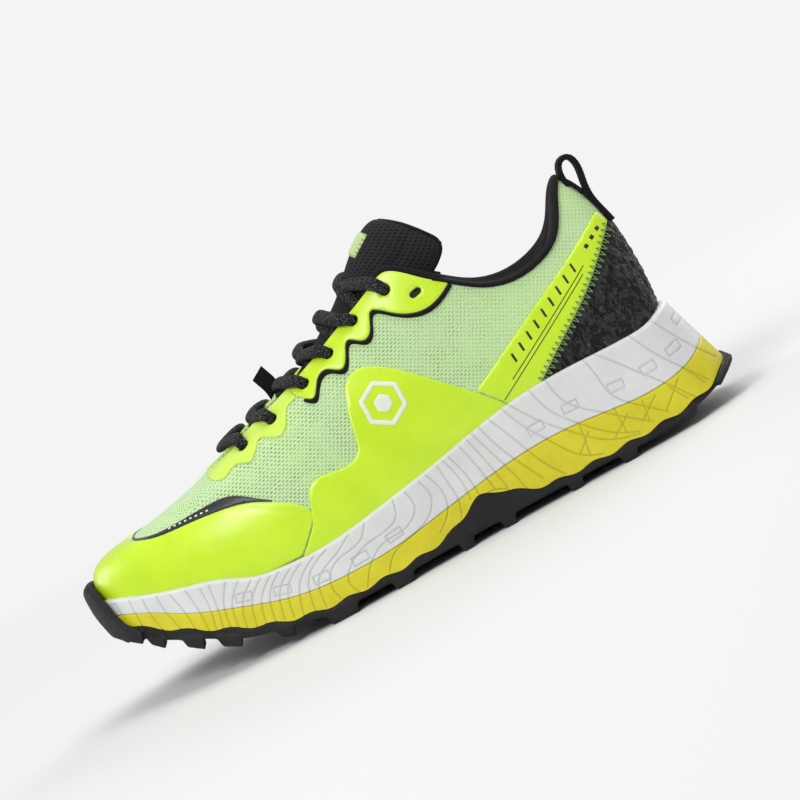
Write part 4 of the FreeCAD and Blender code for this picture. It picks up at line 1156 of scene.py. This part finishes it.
# Moulded lines on the side of the midsole, in the side view: from the toe back to the heel.
GROOVES = [
    [(-138, 47), (-137, 39)], [(-131, 46), (-131, 40), (-131, 33)],
    [(-125, 44), (-125, 38), (-123, 28)], [(-119, 43), (-118, 34), (-115, 24)],
    [(-113, 41), (-111, 33), (-110, 22)], [(-106, 40), (-105, 31), (-105, 20)],
    [(-100, 38), (-100, 31), (-102, 20)], [(-96, 38), (-97, 29), (-99, 19)],
    [(-89, 36), (-94, 28), (-96, 17)], [(-84, 34), (-90, 28), (-93, 16)],
    [(-79, 32), (-86, 26), (-90, 14)], [(-75, 31), (-82, 25), (-86, 12)],
    [(-71, 30), (-78, 24), (-82, 12)], [(-67, 30), (-74, 24), (-78, 11)],
    [(-62, 29), (-70, 23), (-74, 11)], [(-57, 29), (-66, 23), (-70, 10)],
    [(-51, 29), (-61, 22), (-66, 9)], [(-45, 29), (-56, 23), (-61, 8)],
    [(-34, 30), (-43, 25), (-53, 20), (-56, 8)], [(-26, 31), (-30, 26), (-45, 22), (-50, 15), (-49, 8)],
    [(-11, 34), (-13, 27), (-28, 23), (-38, 19), (-43, 12), (-41, 7)],
    [(-5, 34), (-4, 27), (-11, 21), (-22, 20), (-33, 13), (-37, 7)],
    [(2, 35), (4, 28), (0, 21), (-10, 17), (-22, 13), (-26, 8)], [(6, 36), (9, 27), (7, 18), (0, 12)],
    [(12, 37), (13, 27), (13, 18), (11, 13)], [(15, 38), (18, 27), (18, 18)],
    [(18, 38), (21, 28), (22, 18)], [(24, 40), (27, 28), (29, 16)], [(28, 41), (31, 29), (34, 15)],
    [(31, 42), (35, 30), (39, 18), (41, 10)], [(35, 43), (38, 33), (43, 22), (49, 11)],
    [(40, 44), (46, 31), (52, 17), (58, 8)], [(47, 45), (52, 34), (59, 23), (69, 11), (76, 8)],
    [(50, 46), (58, 34), (69, 22), (81, 12), (94, 8)],
    [(61, 46), (64, 36), (73, 24), (87, 12), (94, 9)],
    [(69, 47), (72, 35), (82, 25), (93, 16), (101, 10)],
    [(87, 47), (89, 38), (90, 30), (100, 18), (109, 10)],
    [(92, 47), (98, 40), (107, 29), (116, 18), (122, 10)], [(109, 47), (115, 35), (122, 25), (131, 13)],
    [(121, 47), (126, 38), (133, 27), (140, 18)], [(73, 24), (71, 10)], [(67, 12), (75, 19)],
    [(89, 23), (89, 11)], [(83, 11), (93, 18)], [(101, 20), (100, 11)], [(97, 12), (107, 19)],
    [(114, 19), (119, 11)], [(108, 11), (119, 20)], [(124, 22), (129, 13)],
    [(18, 12), (26, 17), (34, 14)], [(136, 44), (138, 36), (144, 28)],
]
# Small moulded rectangles: the middle (x, z) and the lean in degrees.
TABLETS = [
    (-85, 27, -14), (-69, 22.5, -14), (-52, 19.5, -4), (-34, 19, 2), (-17, 20.5, 6), (56, 31, 3),
    (73, 32, 0), (94, 30.5, -4), (110, 30.5, 0), (124, 32, 8), (134, 41, 12),
]
TABLET_SIZE = (7.0, 3.6)
TABLET_CORNERS = [(-1, -1), (1, -1), (1, 1), (-1, 1), (-1, -1)]


def tablet(x, z, lean):
    """The closed outline of one moulded rectangle."""
    c, s = math.cos(math.radians(lean)), math.sin(math.radians(lean))
    corners = [(a * TABLET_SIZE[0] / 2, b * TABLET_SIZE[1] / 2) for a, b in TABLET_CORNERS]
    return [(x + a * c - b * s, z + a * s + b * c) for a, b in corners]


GROOVE_WIDTH = 0.3
GROOVE_DEPTH = 0.4


def groove_share(x, z):
    """1 on the line of a groove and 0 away from it, for side-view points."""
    seen = np.stack([x.ravel(), z.ravel()], 1)
    nearest = np.full(len(seen), 1e9)
    lines = [smooth_run(points, 2.5) for points in GROOVES] + [np.array(tablet(*t)) for t in TABLETS]
    for line in lines:
        low, high = line.min(0) - 2, line.max(0) + 2
        near = ((seen > low) & (seen < high)).all(1)
        nearest[near] = np.minimum(nearest[near], polyline_distance(seen[near], line, closed=False))
    return bell(nearest, GROOVE_WIDTH).reshape(x.shape)


WALL_STEP = 0.38
WALL_ROWS = 44
FIRST_HEIGHT = 30.0
LEDGE = 6.0
ROUNDING = 1.3


def wall_band(name, lower, upper, material, replaced):
    """One foam layer's side wall with its grooves, closed by a ledge inside the shoe."""
    columns = int(TREAD_RING.length / WALL_STEP)
    rows = WALL_ROWS
    rise = np.linspace(0, 1, rows)[:, None]
    low_ring, high_ring = (ring.even(columns, endpoint=False) for ring in (TREAD_RING, RIM_RING))
    z = np.full((rows, columns), FIRST_HEIGHT)
    for _ in range(5):
        x = low_ring[:, 0] + (high_ring[:, 0] - low_ring[:, 0]) * z / RIM_LEVEL
        z = lower(x) + (upper(x) - lower(x)) * rise
    plan = low_ring + (high_ring - low_ring) * (z / RIM_LEVEL)[..., None]
    run = unit(np.roll(plan, -1, axis=1) - np.roll(plan, 1, axis=1))
    out = np.stack([run[..., 1], -run[..., 0]], -1)
    groove = groove_share(plan[..., 0], z)
    below_top = (1 - rise) * (upper(plan[..., 0]) - lower(plan[..., 0]))
    near = np.clip(ROUNDING - below_top, 0, ROUNDING)
    inset = ROUNDING - np.sqrt(ROUNDING**2 - near**2) + GROOVE_DEPTH * groove
    plan = plan - out * inset[..., None]
    wall = np.concatenate([plan, z[..., None]], -1)
    ledge_low, ledge_high = wall[0].copy(), wall[-1].copy()
    for ledge, edge in ((ledge_low, 0), (ledge_high, -1)):
        ledge[:, :2] -= out[edge] * LEDGE
    points = np.concatenate([wall, ledge_high[None], ledge_low[None]])
    grooves = np.concatenate([groove, np.zeros((2, columns))])
    faces = grid_faces(rows + 2, columns, wrap=True)
    last = (rows + 1) * columns
    for j in range(columns):
        k = (j + 1) % columns
        faces.append((last + j, last + k, k, j))
    points, shares = points.reshape(-1, 3), {"groove": grooves.ravel()}
    make_piece(name, points, faces, material, points[:, [0, 2]], shares, replaced=(replaced,))


def make_midsole():
    wall_band("midsole_white_wall", lower_top, rim_top, "foam_white", "midsole_upper")
    wall_band("midsole_yellow_wall", tread_top, lower_top, "foam_yellow", "midsole_lower")


RUBBER_VOXEL = 0.6
RUBBER_PASSES = 4
BUMPER_PASSES = 45
BUMPER_BACK = (-132, -138)
BUMPER_LOW = (30, 38)


def rounded(points, edges, passes, share):
    """Points drawn toward their neighbours, each by its own share, a number of times."""
    count = len(points)
    ends = np.concatenate([edges, edges[:, ::-1]])
    neighbours = np.maximum(np.bincount(ends[:, 0], minlength=count), 1)[:, None]
    for _ in range(passes):
        sums = np.stack([np.bincount(ends[:, 0], points[ends[:, 1], k], count) for k in range(3)], 1)
        points = points + (sums / neighbours - points) * share
    return points


def make_outsole():
    """The CAD rubber with the soft edges of a moulding, softest on the bumper over the toe."""
    source = frame["nodes"]["outsole"]
    mesh = source.data.copy()
    mesh.transform(source.matrix_world)
    blank = add_object("blank", mesh)
    even = blank.modifiers.new("even", "REMESH")
    even.mode = "VOXEL"
    even.voxel_size = RUBBER_VOXEL * MM
    made = bpy.data.meshes.new_from_object(blank.evaluated_get(bpy.context.evaluated_depsgraph_get()))
    bpy.data.objects.remove(blank)
    points = np.zeros(len(made.vertices) * 3)
    made.vertices.foreach_get("co", points)
    points = points.reshape(-1, 3) / MM - CENTRING
    edges = np.zeros(len(made.edges) * 2, np.int32)
    made.edges.foreach_get("vertices", edges)
    edges = edges.reshape(-1, 2)
    faces = [tuple(face.vertices) for face in made.polygons]
    points = rounded(points, edges, RUBBER_PASSES, 0.5)
    on_bumper = ramp(points[:, 0], *BUMPER_BACK) * ramp(points[:, 2], *BUMPER_LOW)
    points = rounded(points, edges, BUMPER_PASSES, 0.5 * on_bumper[:, None])
    bpy.data.meshes.remove(made)
    make_piece("tread_rubber_skin", points, faces, "tread_rubber", replaced=("outsole",))


SOCKLINER_DROP = 4.6
SOCKLINER_LIFT = 6.1
SOCKLINER_THICKNESS = 4.5
SPINE_ENDS = (-110, 105)


def make_sockliner():
    """The foam insole: a cloth-topped cup with a rim that turns up round the foot."""
    turns = np.linspace(0, TOE_END, 240, endpoint=False)
    ring = form(turns, 0)
    flat = outward(turns, 0) * (1, 1, 0)
    ring = (ring - unit(flat) * SOCKLINER_DROP)[:, :2]
    spine_x = np.clip(ring[:, 0], *SPINE_ENDS)
    spine = np.stack([spine_x, middle(spine_x)], 1)
    shares = np.concatenate([np.linspace(0.02, 0.9, 20), [0.95, 0.98, 1.0]])
    layers = []
    for top in (True, False):
        for share in (shares if top else shares[::-1]):
            plan = spine + (ring - spine) * share
            curl = 1.6 * ramp(share, 0.7, 1) ** 2
            round_off = 0.9 * (1 - math.sqrt(1 - ramp(share, 0.93, 1) ** 2))
            height = foot_bed(plan[:, 0]) + SOCKLINER_LIFT + curl - round_off
            if not top:
                height = foot_bed(plan[:, 0]) + SOCKLINER_LIFT - SOCKLINER_THICKNESS + 0.1 + 0.5 * curl
            layers.append(np.concatenate([plan, height[:, None]], 1))
    points = np.array(layers)
    rows, columns = points.shape[:2]
    faces = grid_faces(rows, columns, wrap=True)
    faces.append(tuple(range(columns))[::-1])
    faces.append(tuple(range((rows - 1) * columns, rows * columns)))
    uv = points[..., :2].reshape(-1, 2)
    piece = make_piece("insole", points.reshape(-1, 3), faces, "insole_cloth", uv, replaced=("sockliner",))


# ---------------------------------------------------------------- the collar

COLLAR_FOAM = 4.5
ROLLED_COUNT = 13
LAYERS_BEHIND_FOAM = 3.6
HEEL_PAD = 14.0
PAD_REACH = 5.0
PAD_DIP = 0.65
PAD_DIP_REACH = 2.2


def swell(v):
    """The collar foam's share of its full thickness, up the wall."""
    rise, fall = ramp(v, 0.34, 0.64), ramp(v, 1, 0.75)
    return (3 * rise**2 - 2 * rise**3) * (0.35 + 0.65 * np.sin(fall * math.pi / 2))


def heel_pad(u, v):
    """The extra foam beside the ankle, less of it right at the back, thickest below the collar's edge."""
    near_heel = np.exp(-(((u - HEEL) / PAD_REACH) ** 4))
    dip = PAD_DIP * bell(u - HEEL, PAD_DIP_REACH)
    hump = np.sin(math.pi * ramp(v, 1, 0.58))
    return HEEL_PAD * near_heel * (1 - dip) * np.maximum(hump, 0) ** 0.35


def collar_profile():
    """The collar's section as (v, offset): up outside the rolled edge, over it and down the lining."""
    rolled = [
        (0.957, -0.4), (0.959, 0.5), (0.964, 1.15), (0.972, 1.45), (0.981, 1.5), (0.990, 1.3),
        (0.998, 0.85), (1.005, 0.1), (1.010, -0.9), (1.011, -2.0), (1.008, -3.2), (1.001, -4.4),
        (0.990, -5.4),
    ]
    down = np.linspace(0.975, 0.03, 44)
    lining = [(v, -(LAYERS_BEHIND_FOAM + 0.9 + (COLLAR_FOAM + 0.7) * swell(v))) for v in down]
    back = [(v, -LAYERS_BEHIND_FOAM + 0.6) for v in (0.03, 0.2, 0.4, 0.6, 0.8, 0.94)]
    return rolled + lining + back


def make_collar():
    """Padded cloth all round the ankle, one closed tube of it from one eyestay to the other."""
    profile = np.array(collar_profile())
    turns = np.linspace(COLLAR_RIB - 0.1, TOE_END - COLLAR_RIB + 0.1, 230)
    u, v = np.meshgrid(turns, profile[:, 0], indexing="ij")
    inside = np.broadcast_to(np.arange(len(profile)) >= ROLLED_COUNT, u.shape)
    inside = inside & (profile[:, 1] < -LAYERS_BEHIND_FOAM)
    depth = profile[:, 1] - np.where(inside, heel_pad(u, v), 0)
    points = offset(u, np.minimum(v, 1.0), depth)
    points[..., 2] += np.maximum(v - 1.0, 0) * 80
    rows, columns = u.shape
    faces = [f[::-1] for f in grid_faces(rows, columns, wrap=True)]
    faces.append(tuple(range(columns)))
    faces.append(tuple(reversed(range((rows - 1) * columns, rows * columns))))
    along, around = travelled(points[:, 5]), travelled(points[rows // 2])
    uv = np.stack(np.meshgrid(along, around, indexing="ij"), -1).reshape(-1, 2)
    nodes = [f"collar_{part}_{side}" for part in ("binding", "foam", "lining") for side in SIDES]
    piece = make_piece("collar_padding", points.reshape(-1, 3), faces, "black_cloth", uv, replaced=nodes)


EDGE_ROLL = (6.75, 9.9)
ROLL_STATIONS = 60
ROLL_SIZE = (4.6, 3.6)


def make_edge_rolls():
    """The collar's rolled edge carried forward over the top of each upper eyestay."""
    u = np.linspace(*EDGE_ROLL, ROLL_STATIONS)
    v = np.full(ROLL_STATIONS, 0.985)
    ends = np.minimum((u - u[0]) / 0.35, (u[-1] - u) / 0.35)
    sink = -0.9 - 2.6 * np.clip(1 - ends, 0, 1) ** 2
    for side in SIDES:
        turn = u if side == "lateral" else TOE_END - u
        edge = offset(turn, v, sink)
        normals = outward(turn, v)
        across = unit(np.cross(normals, headings(edge)))
        bar(f"edge_roll_{side}", edge, across, normals, oval(*ROLL_SIZE, 18), "black_cloth")


# ---------------------------------------------------------------- the tongue

TONGUE_ROOT = [
    ((-82, 68), (-83.5, 8, 67.4), (-88, 15, 64.5)),
    ((-67, 73), (-68, 9, 71.5), (-74, 19, 68)),
]
TONGUE_LINE = [
    (-50, 81, 2.9), (-35, 89, 3.7), (-20, 97.5, 4.6), (-5, 107.5, 5.5), (9, 117.5, 6.5), (20, 128, 7.5),
]
TONGUE_TOP = [
    ((29, 135.2), (38, 14.5, 125), (50, 19.5, 109.5)),
    ((35.5, 138.5), (44.5, 15, 129.5), (56, 20, 114.5)),
    ((39, 139.3), (47.5, 14.5, 132), (59, 19, 118)),
]
TONGUE_DROP = 6.4
TONGUE_THICKNESS = 6.3
TONGUE_ROWS, TONGUE_COLUMNS = 130, 71


def tongue_face():
    """The tongue's outer face as an even grid, from its root to its top."""
    def free_row(station):
        (x, z), (sx, sy, sz), (ex, ey, ez) = station
        return [(ex, middle(ex) - ey, ez), (sx, middle(sx) - sy, sz), (x, middle(x), z),
                (sx, middle(sx) + sy, sz), (ex, middle(ex) + ey, ez)]

    rows = [free_row(station) for station in TONGUE_ROOT]
    for x, z, u in TONGUE_LINE:
        sides = [offset([at, at], [0.8, 0.97], [-TONGUE_DROP] * 2) for at in (u, TOE_END - u)]
        rows.append([sides[0][0], sides[0][1], (x, middle(x), z), sides[1][1], sides[1][0]])
    rows += [free_row(station) for station in TONGUE_TOP]
    columns = [Spline(column).even(TONGUE_ROWS) for column in zip(*rows)]
    face = np.array([Spline(row).even(TONGUE_COLUMNS) for row in np.stack(columns, 1)])
    along, across = np.gradient(face, axis=0), np.gradient(face, axis=1)
    return face, unit(np.cross(along, across))


def edge_share(rows, columns):
    """How full the pad is at each point of its face: 1 inside, 0 at its sides and its top edge."""
    w = np.abs(np.linspace(-1, 1, columns))[None, :]
    s = np.linspace(0, 1, rows)[:, None]
    near = np.minimum(np.minimum(ramp(w, 1, 0.78), ramp(s, 1, 0.94)), ramp(s, 0, 0.03))
    return np.sqrt(np.maximum(1 - (1 - near) ** 2, 0))


def joint_pivot(name):
    return Vector(next(joint for joint in frame["joints"] if joint["name"] == name)["pos_m"])


def follow_fold(piece):
    """Bakes the piece's placement into its mesh; the fold joint's pivot is looked up, but nothing bends
    there.
    """
    pivot = joint_pivot("tongue_fold")
    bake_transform(piece)


RIM_DEPTH = 1.6
PIPING_START = 0.6


def make_tongue():
    """A padded tongue with a piped edge, and a plain label near its top."""
    face, normals = tongue_face()
    rows, columns = face.shape[:2]
    full = edge_share(rows, columns)[..., None]
    w = np.linspace(-1, 1, columns)[None, :, None]
    s = np.linspace(0, 1, rows)[:, None, None]
    crown = 0.9 * (1 - w**2) * ramp(s, 0.62, 0.82)
    channel = 0.7 * bell(np.abs(w) - 0.62, 0.05)
    top = face + normals * (crown - channel - RIM_DEPTH * (1 - full))
    bottom = face - normals * (RIM_DEPTH + (TONGUE_THICKNESS - RIM_DEPTH) * full)
    points, faces = closed_pad(top, bottom)
    along, across = travelled(face[:, columns // 2]), np.linspace(-22, 22, columns)
    uv = np.stack(np.meshgrid(along, across, indexing="ij"), -1).reshape(-1, 2)
    tongue = make_piece("tongue_pad", points, faces, "black_mesh", np.vstack([uv, uv]), body=None,
                        replaced=("tongue_body", "tongue_flap"))
    follow_fold(tongue)
    make_piping(face, normals)
    make_label(face, normals, crown)


def make_piping(face, normals):
    """A cord round the tongue's rim, from above the lacing over the top."""
    rows, columns = face.shape[:2]
    start = int(rows * PIPING_START)
    route = [(i, 0) for i in range(start, rows)] + [(rows - 1, j) for j in range(1, columns)]
    route += [(i, columns - 1) for i in range(rows - 2, start - 1, -1)]
    place = np.array([face[i, j] - normals[i, j] * RIM_DEPTH for i, j in route])
    up = np.array([normals[i, j] for i, j in route])
    average = np.ones(9) / 9
    path = np.stack([np.convolve(np.pad(place[:, k], 4, "edge"), average, "valid") for k in range(3)], 1)
    tangent = headings(path)
    side = unit(np.cross(up, tangent))
    up = np.cross(tangent, side)
    follow_fold(bar("tongue_piping", path, side, up, oval(2.2, 2.2, 12), "black_cloth", body=None))


LABEL_ROWS = (0.86, 0.945)
LABEL_REACH = 0.2


def make_label(face, normals, crown):
    """A plain woven label with rounded edges, sewn on the front of the tongue."""
    rows, columns = face.shape[:2]
    i0, i1 = (int(share * rows) for share in LABEL_ROWS)
    j0, j1 = int(columns * (0.5 - LABEL_REACH / 2)), int(columns * (0.5 + LABEL_REACH / 2)) + 1
    part, out = face[i0:i1, j0:j1], normals[i0:i1, j0:j1]
    part = part + out * crown[i0:i1, j0:j1]
    across = np.linspace(-1, 1, part.shape[1])[None, :, None]
    along = np.linspace(-1, 1, part.shape[0])[:, None, None]
    full = np.sqrt(np.maximum(1 - np.maximum(np.abs(across), np.abs(along)) ** 10, 0))
    points, faces = closed_pad(part + out * (0.1 + 0.7 * full), part - out * 0.2)
    make_piece("tongue_tag", points, faces, "label_weave", points[:, [1, 2]], body="tongue_top",
               replaced=("tongue_label",))


# ---------------------------------------------------------------- the lace and its keeper

# The same route as the CAD lace: over the tongue at each crossing, and in through each eyelet.
CROSSINGS = [(-51, 87.5), (-34, 95), (-20, 104), (-5, 114), (9, 124)]
TOE_BAR = (-69, 83.2)
LACE_LIFT = 2.95
LACE_SINK = -3.65
THROAT_UP = (-0.55, 0, 0.83)
LACE_SIZE = (6.4, 3.6)
LACE_STEP = 0.75
CROSSING_RISE = 2.2


def lace_half(first_side, over_rise):
    """Control points of one lace end with the direction that is up at each, and its width there."""
    side = first_side
    stations = []

    def put(u, v, depth, wide):
        u = TOE_END - u if side == "medial" else u
        stations.append((offset([u], [v], [depth])[0], outward(np.array([u]), np.array([v]))[0], wide))

    for i, (u, v) in enumerate(zip(EYELET_U, EYELET_V)):
        put(u - 0.35, min(v + 0.1, 0.98), LACE_LIFT + 0.6, 0.95)
        put(u, v, LACE_LIFT, 0.8)
        put(u, v, LACE_SINK - 0.6, 0.7)
        if i < len(CROSSINGS):
            put(u + 0.2, 0.97, LACE_SINK - 0.4, 0.75)
            x, z = CROSSINGS[i]
            stations.append((np.array([x, middle(x), z + over_rise]), np.array(THROAT_UP), 1.0))
            side = SIDES[1 - SIDES.index(side)]
    for down, deep in ((0.09, 0.6), (0.22, 1.8), (0.36, 3.4)):
        put(EYELET_U[-1] + 0.15 + down, EYELET_V[-1] - down, LACE_SINK - deep, 0.6)
    return stations


def along_route(values, samples=14):
    """A quadratic B-spline through a route of control values, which it enters and leaves at its ends."""
    values = np.asarray(values, float)
    middles = (values[:-1] + values[1:]) / 2
    t = np.linspace(0, 1, samples, endpoint=False)[:, None]
    pieces = [values[0] + (middles[0] - values[0]) * t]
    for before, corner, after in zip(middles, values[1:-1], middles[1:]):
        pieces.append((1 - t) ** 2 * before + 2 * t * (1 - t) * corner + t**2 * after)
    pieces.append(middles[-1] + (values[-1] - middles[-1]) * t)
    return np.vstack([*pieces, values[-1:]])


def steady_sides(tangent, up):
    """Unit vectors across the path that stay square to it and never flip over."""
    side = np.cross(tangent, up)
    for k in range(1, len(side)):
        if side[k] @ side[k - 1] < 0:
            side[k] = -side[k]
    for _ in range(12):
        padded = np.pad(side, ((1, 1), (0, 0)), "edge")
        side = (padded[:-2] + 2 * padded[1:-1] + padded[2:]) / 4
        side = side - tangent * (side * tangent).sum(1, keepdims=True)
    return unit(side)


def make_lace():
    """One flat-round cord, woven, along the whole of the lacing."""
    x, z = TOE_BAR
    toe_bar = [(np.array([x, middle(x), z]), np.array(THROAT_UP), 1.0)]
    stations = lace_half("lateral", CROSSING_RISE)[::-1] + toe_bar + lace_half("medial", -CROSSING_RISE)
    path = along_route([s[0] for s in stations])
    up = along_route([s[1] for s in stations])
    wide = along_route([[s[2]] for s in stations])
    reach = travelled(path)
    even = np.linspace(0, reach[-1], int(reach[-1] / LACE_STEP))

    def respaced(values):
        return np.stack([np.interp(even, reach, column) for column in values.T], 1)

    path, up, wide = respaced(path), respaced(up), respaced(wide)
    tangent = headings(path)
    side = steady_sides(tangent, up)
    scale = np.concatenate([wide, 1 - 0.3 * (1 - wide)], 1)
    section = oval(*LACE_SIZE, 22, 0.85)
    bar("lace_cord", path, side, np.cross(side, tangent), section, "lace_braid", scale, replaced=("lace",))


WEBBING_WIDTH = 11.0
WEBBING_RIB = 1.6


def strap_sweep(name, points, thickness, body, replaced=()):
    """A webbing strap along side-view points, square to the shoe's middle plane."""
    curve = Spline(points)
    flat = curve.even(int(curve.length / 0.5))
    path = np.stack([flat[:, 0], middle(flat[:, 0]), flat[:, 1]], 1)
    across = np.tile((0.0, 1.0, 0.0), (len(path), 1))
    ribs = 1 + 0.05 * np.sin(2 * math.pi * np.linspace(0, curve.length, len(path)) / WEBBING_RIB)
    scale = np.stack([np.ones(len(path)), ribs], 1)
    section = oval(WEBBING_WIDTH, thickness, 28, 0.35)
    up = np.cross(headings(path), across)
    return bar(name, path, across, up, section, "black_webbing", scale, body=body, replaced=replaced)


LOOP_ROUTE = [
    (118.6, 112.5), (118.2, 116.5), (118.6, 120.3), (121.0, 123.6), (124.3, 123.6), (126.2, 120.2),
    (126.3, 115.5), (125.6, 110.5), (125.4, 105.5), (126.3, 100.0), (127.9, 94.5), (129.0, 90.5),
]
TAPE_RANGE = (0.945, 0.68)
TAPE_LIFT = 0.7
KEEPER_ROUTE = [(-34.5, 93.5), (-35.0, 97.5), (-36.2, 101.0), (-37.6, 104.6)]
KEEPER_MIDDLE = -33
KEEPER_ACROSS = (0.82, 0.25, 0.5)


def make_straps():
    """The heel's pull loop with its tape, and the tab that holds the lace on the tongue."""
    loop = strap_sweep("pull_strap", LOOP_ROUTE, 2.5, None, ("pull_loop", "pull_loop_anchor"))
    pivot = joint_pivot("loop_swing")
    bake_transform(loop)
    tape = offset(np.full(12, float(HEEL)), np.linspace(*TAPE_RANGE, 12), np.full(12, TAPE_LIFT))
    strap_sweep("heel_tape", tape[:, [0, 2]], 1.5, "shoe")
    flat = Spline(KEEPER_ROUTE).even(24)
    path = np.stack([flat[:, 0], np.full(24, middle(KEEPER_MIDDLE)), flat[:, 1]], 1)
    across = unit(np.tile(KEEPER_ACROSS, (24, 1)))
    up = unit(np.cross(headings(path), across))
    bar("lace_tab", path, across, up, oval(7.5, 1.5, 24, 0.4), "black_webbing", replaced=("lace_keeper",))


# ---------------------------------------------------------------- all together

CAD_FINISHES = {
    "strobel_board": "board", "heel_counter": "stiffener", "toe_puff": "stiffener",
    "aglet_lateral": "clear_plastic", "aglet_medial": "clear_plastic",
}


def finish_cad_pieces():
    for node, material in CAD_FINISHES.items():
        for place in frame["nodes"][node].material_slots:
            place.material = MATERIALS[material]


make_materials()
place_camera()
light_the_studio()
make_floor()
finish_cad_pieces()
make_knit()
make_films()
make_prints()
make_threads()
make_badge()
make_midsole()
make_outsole()
make_sockliner()
make_collar()
make_edge_rolls()
make_tongue()
make_lace()
make_straps()
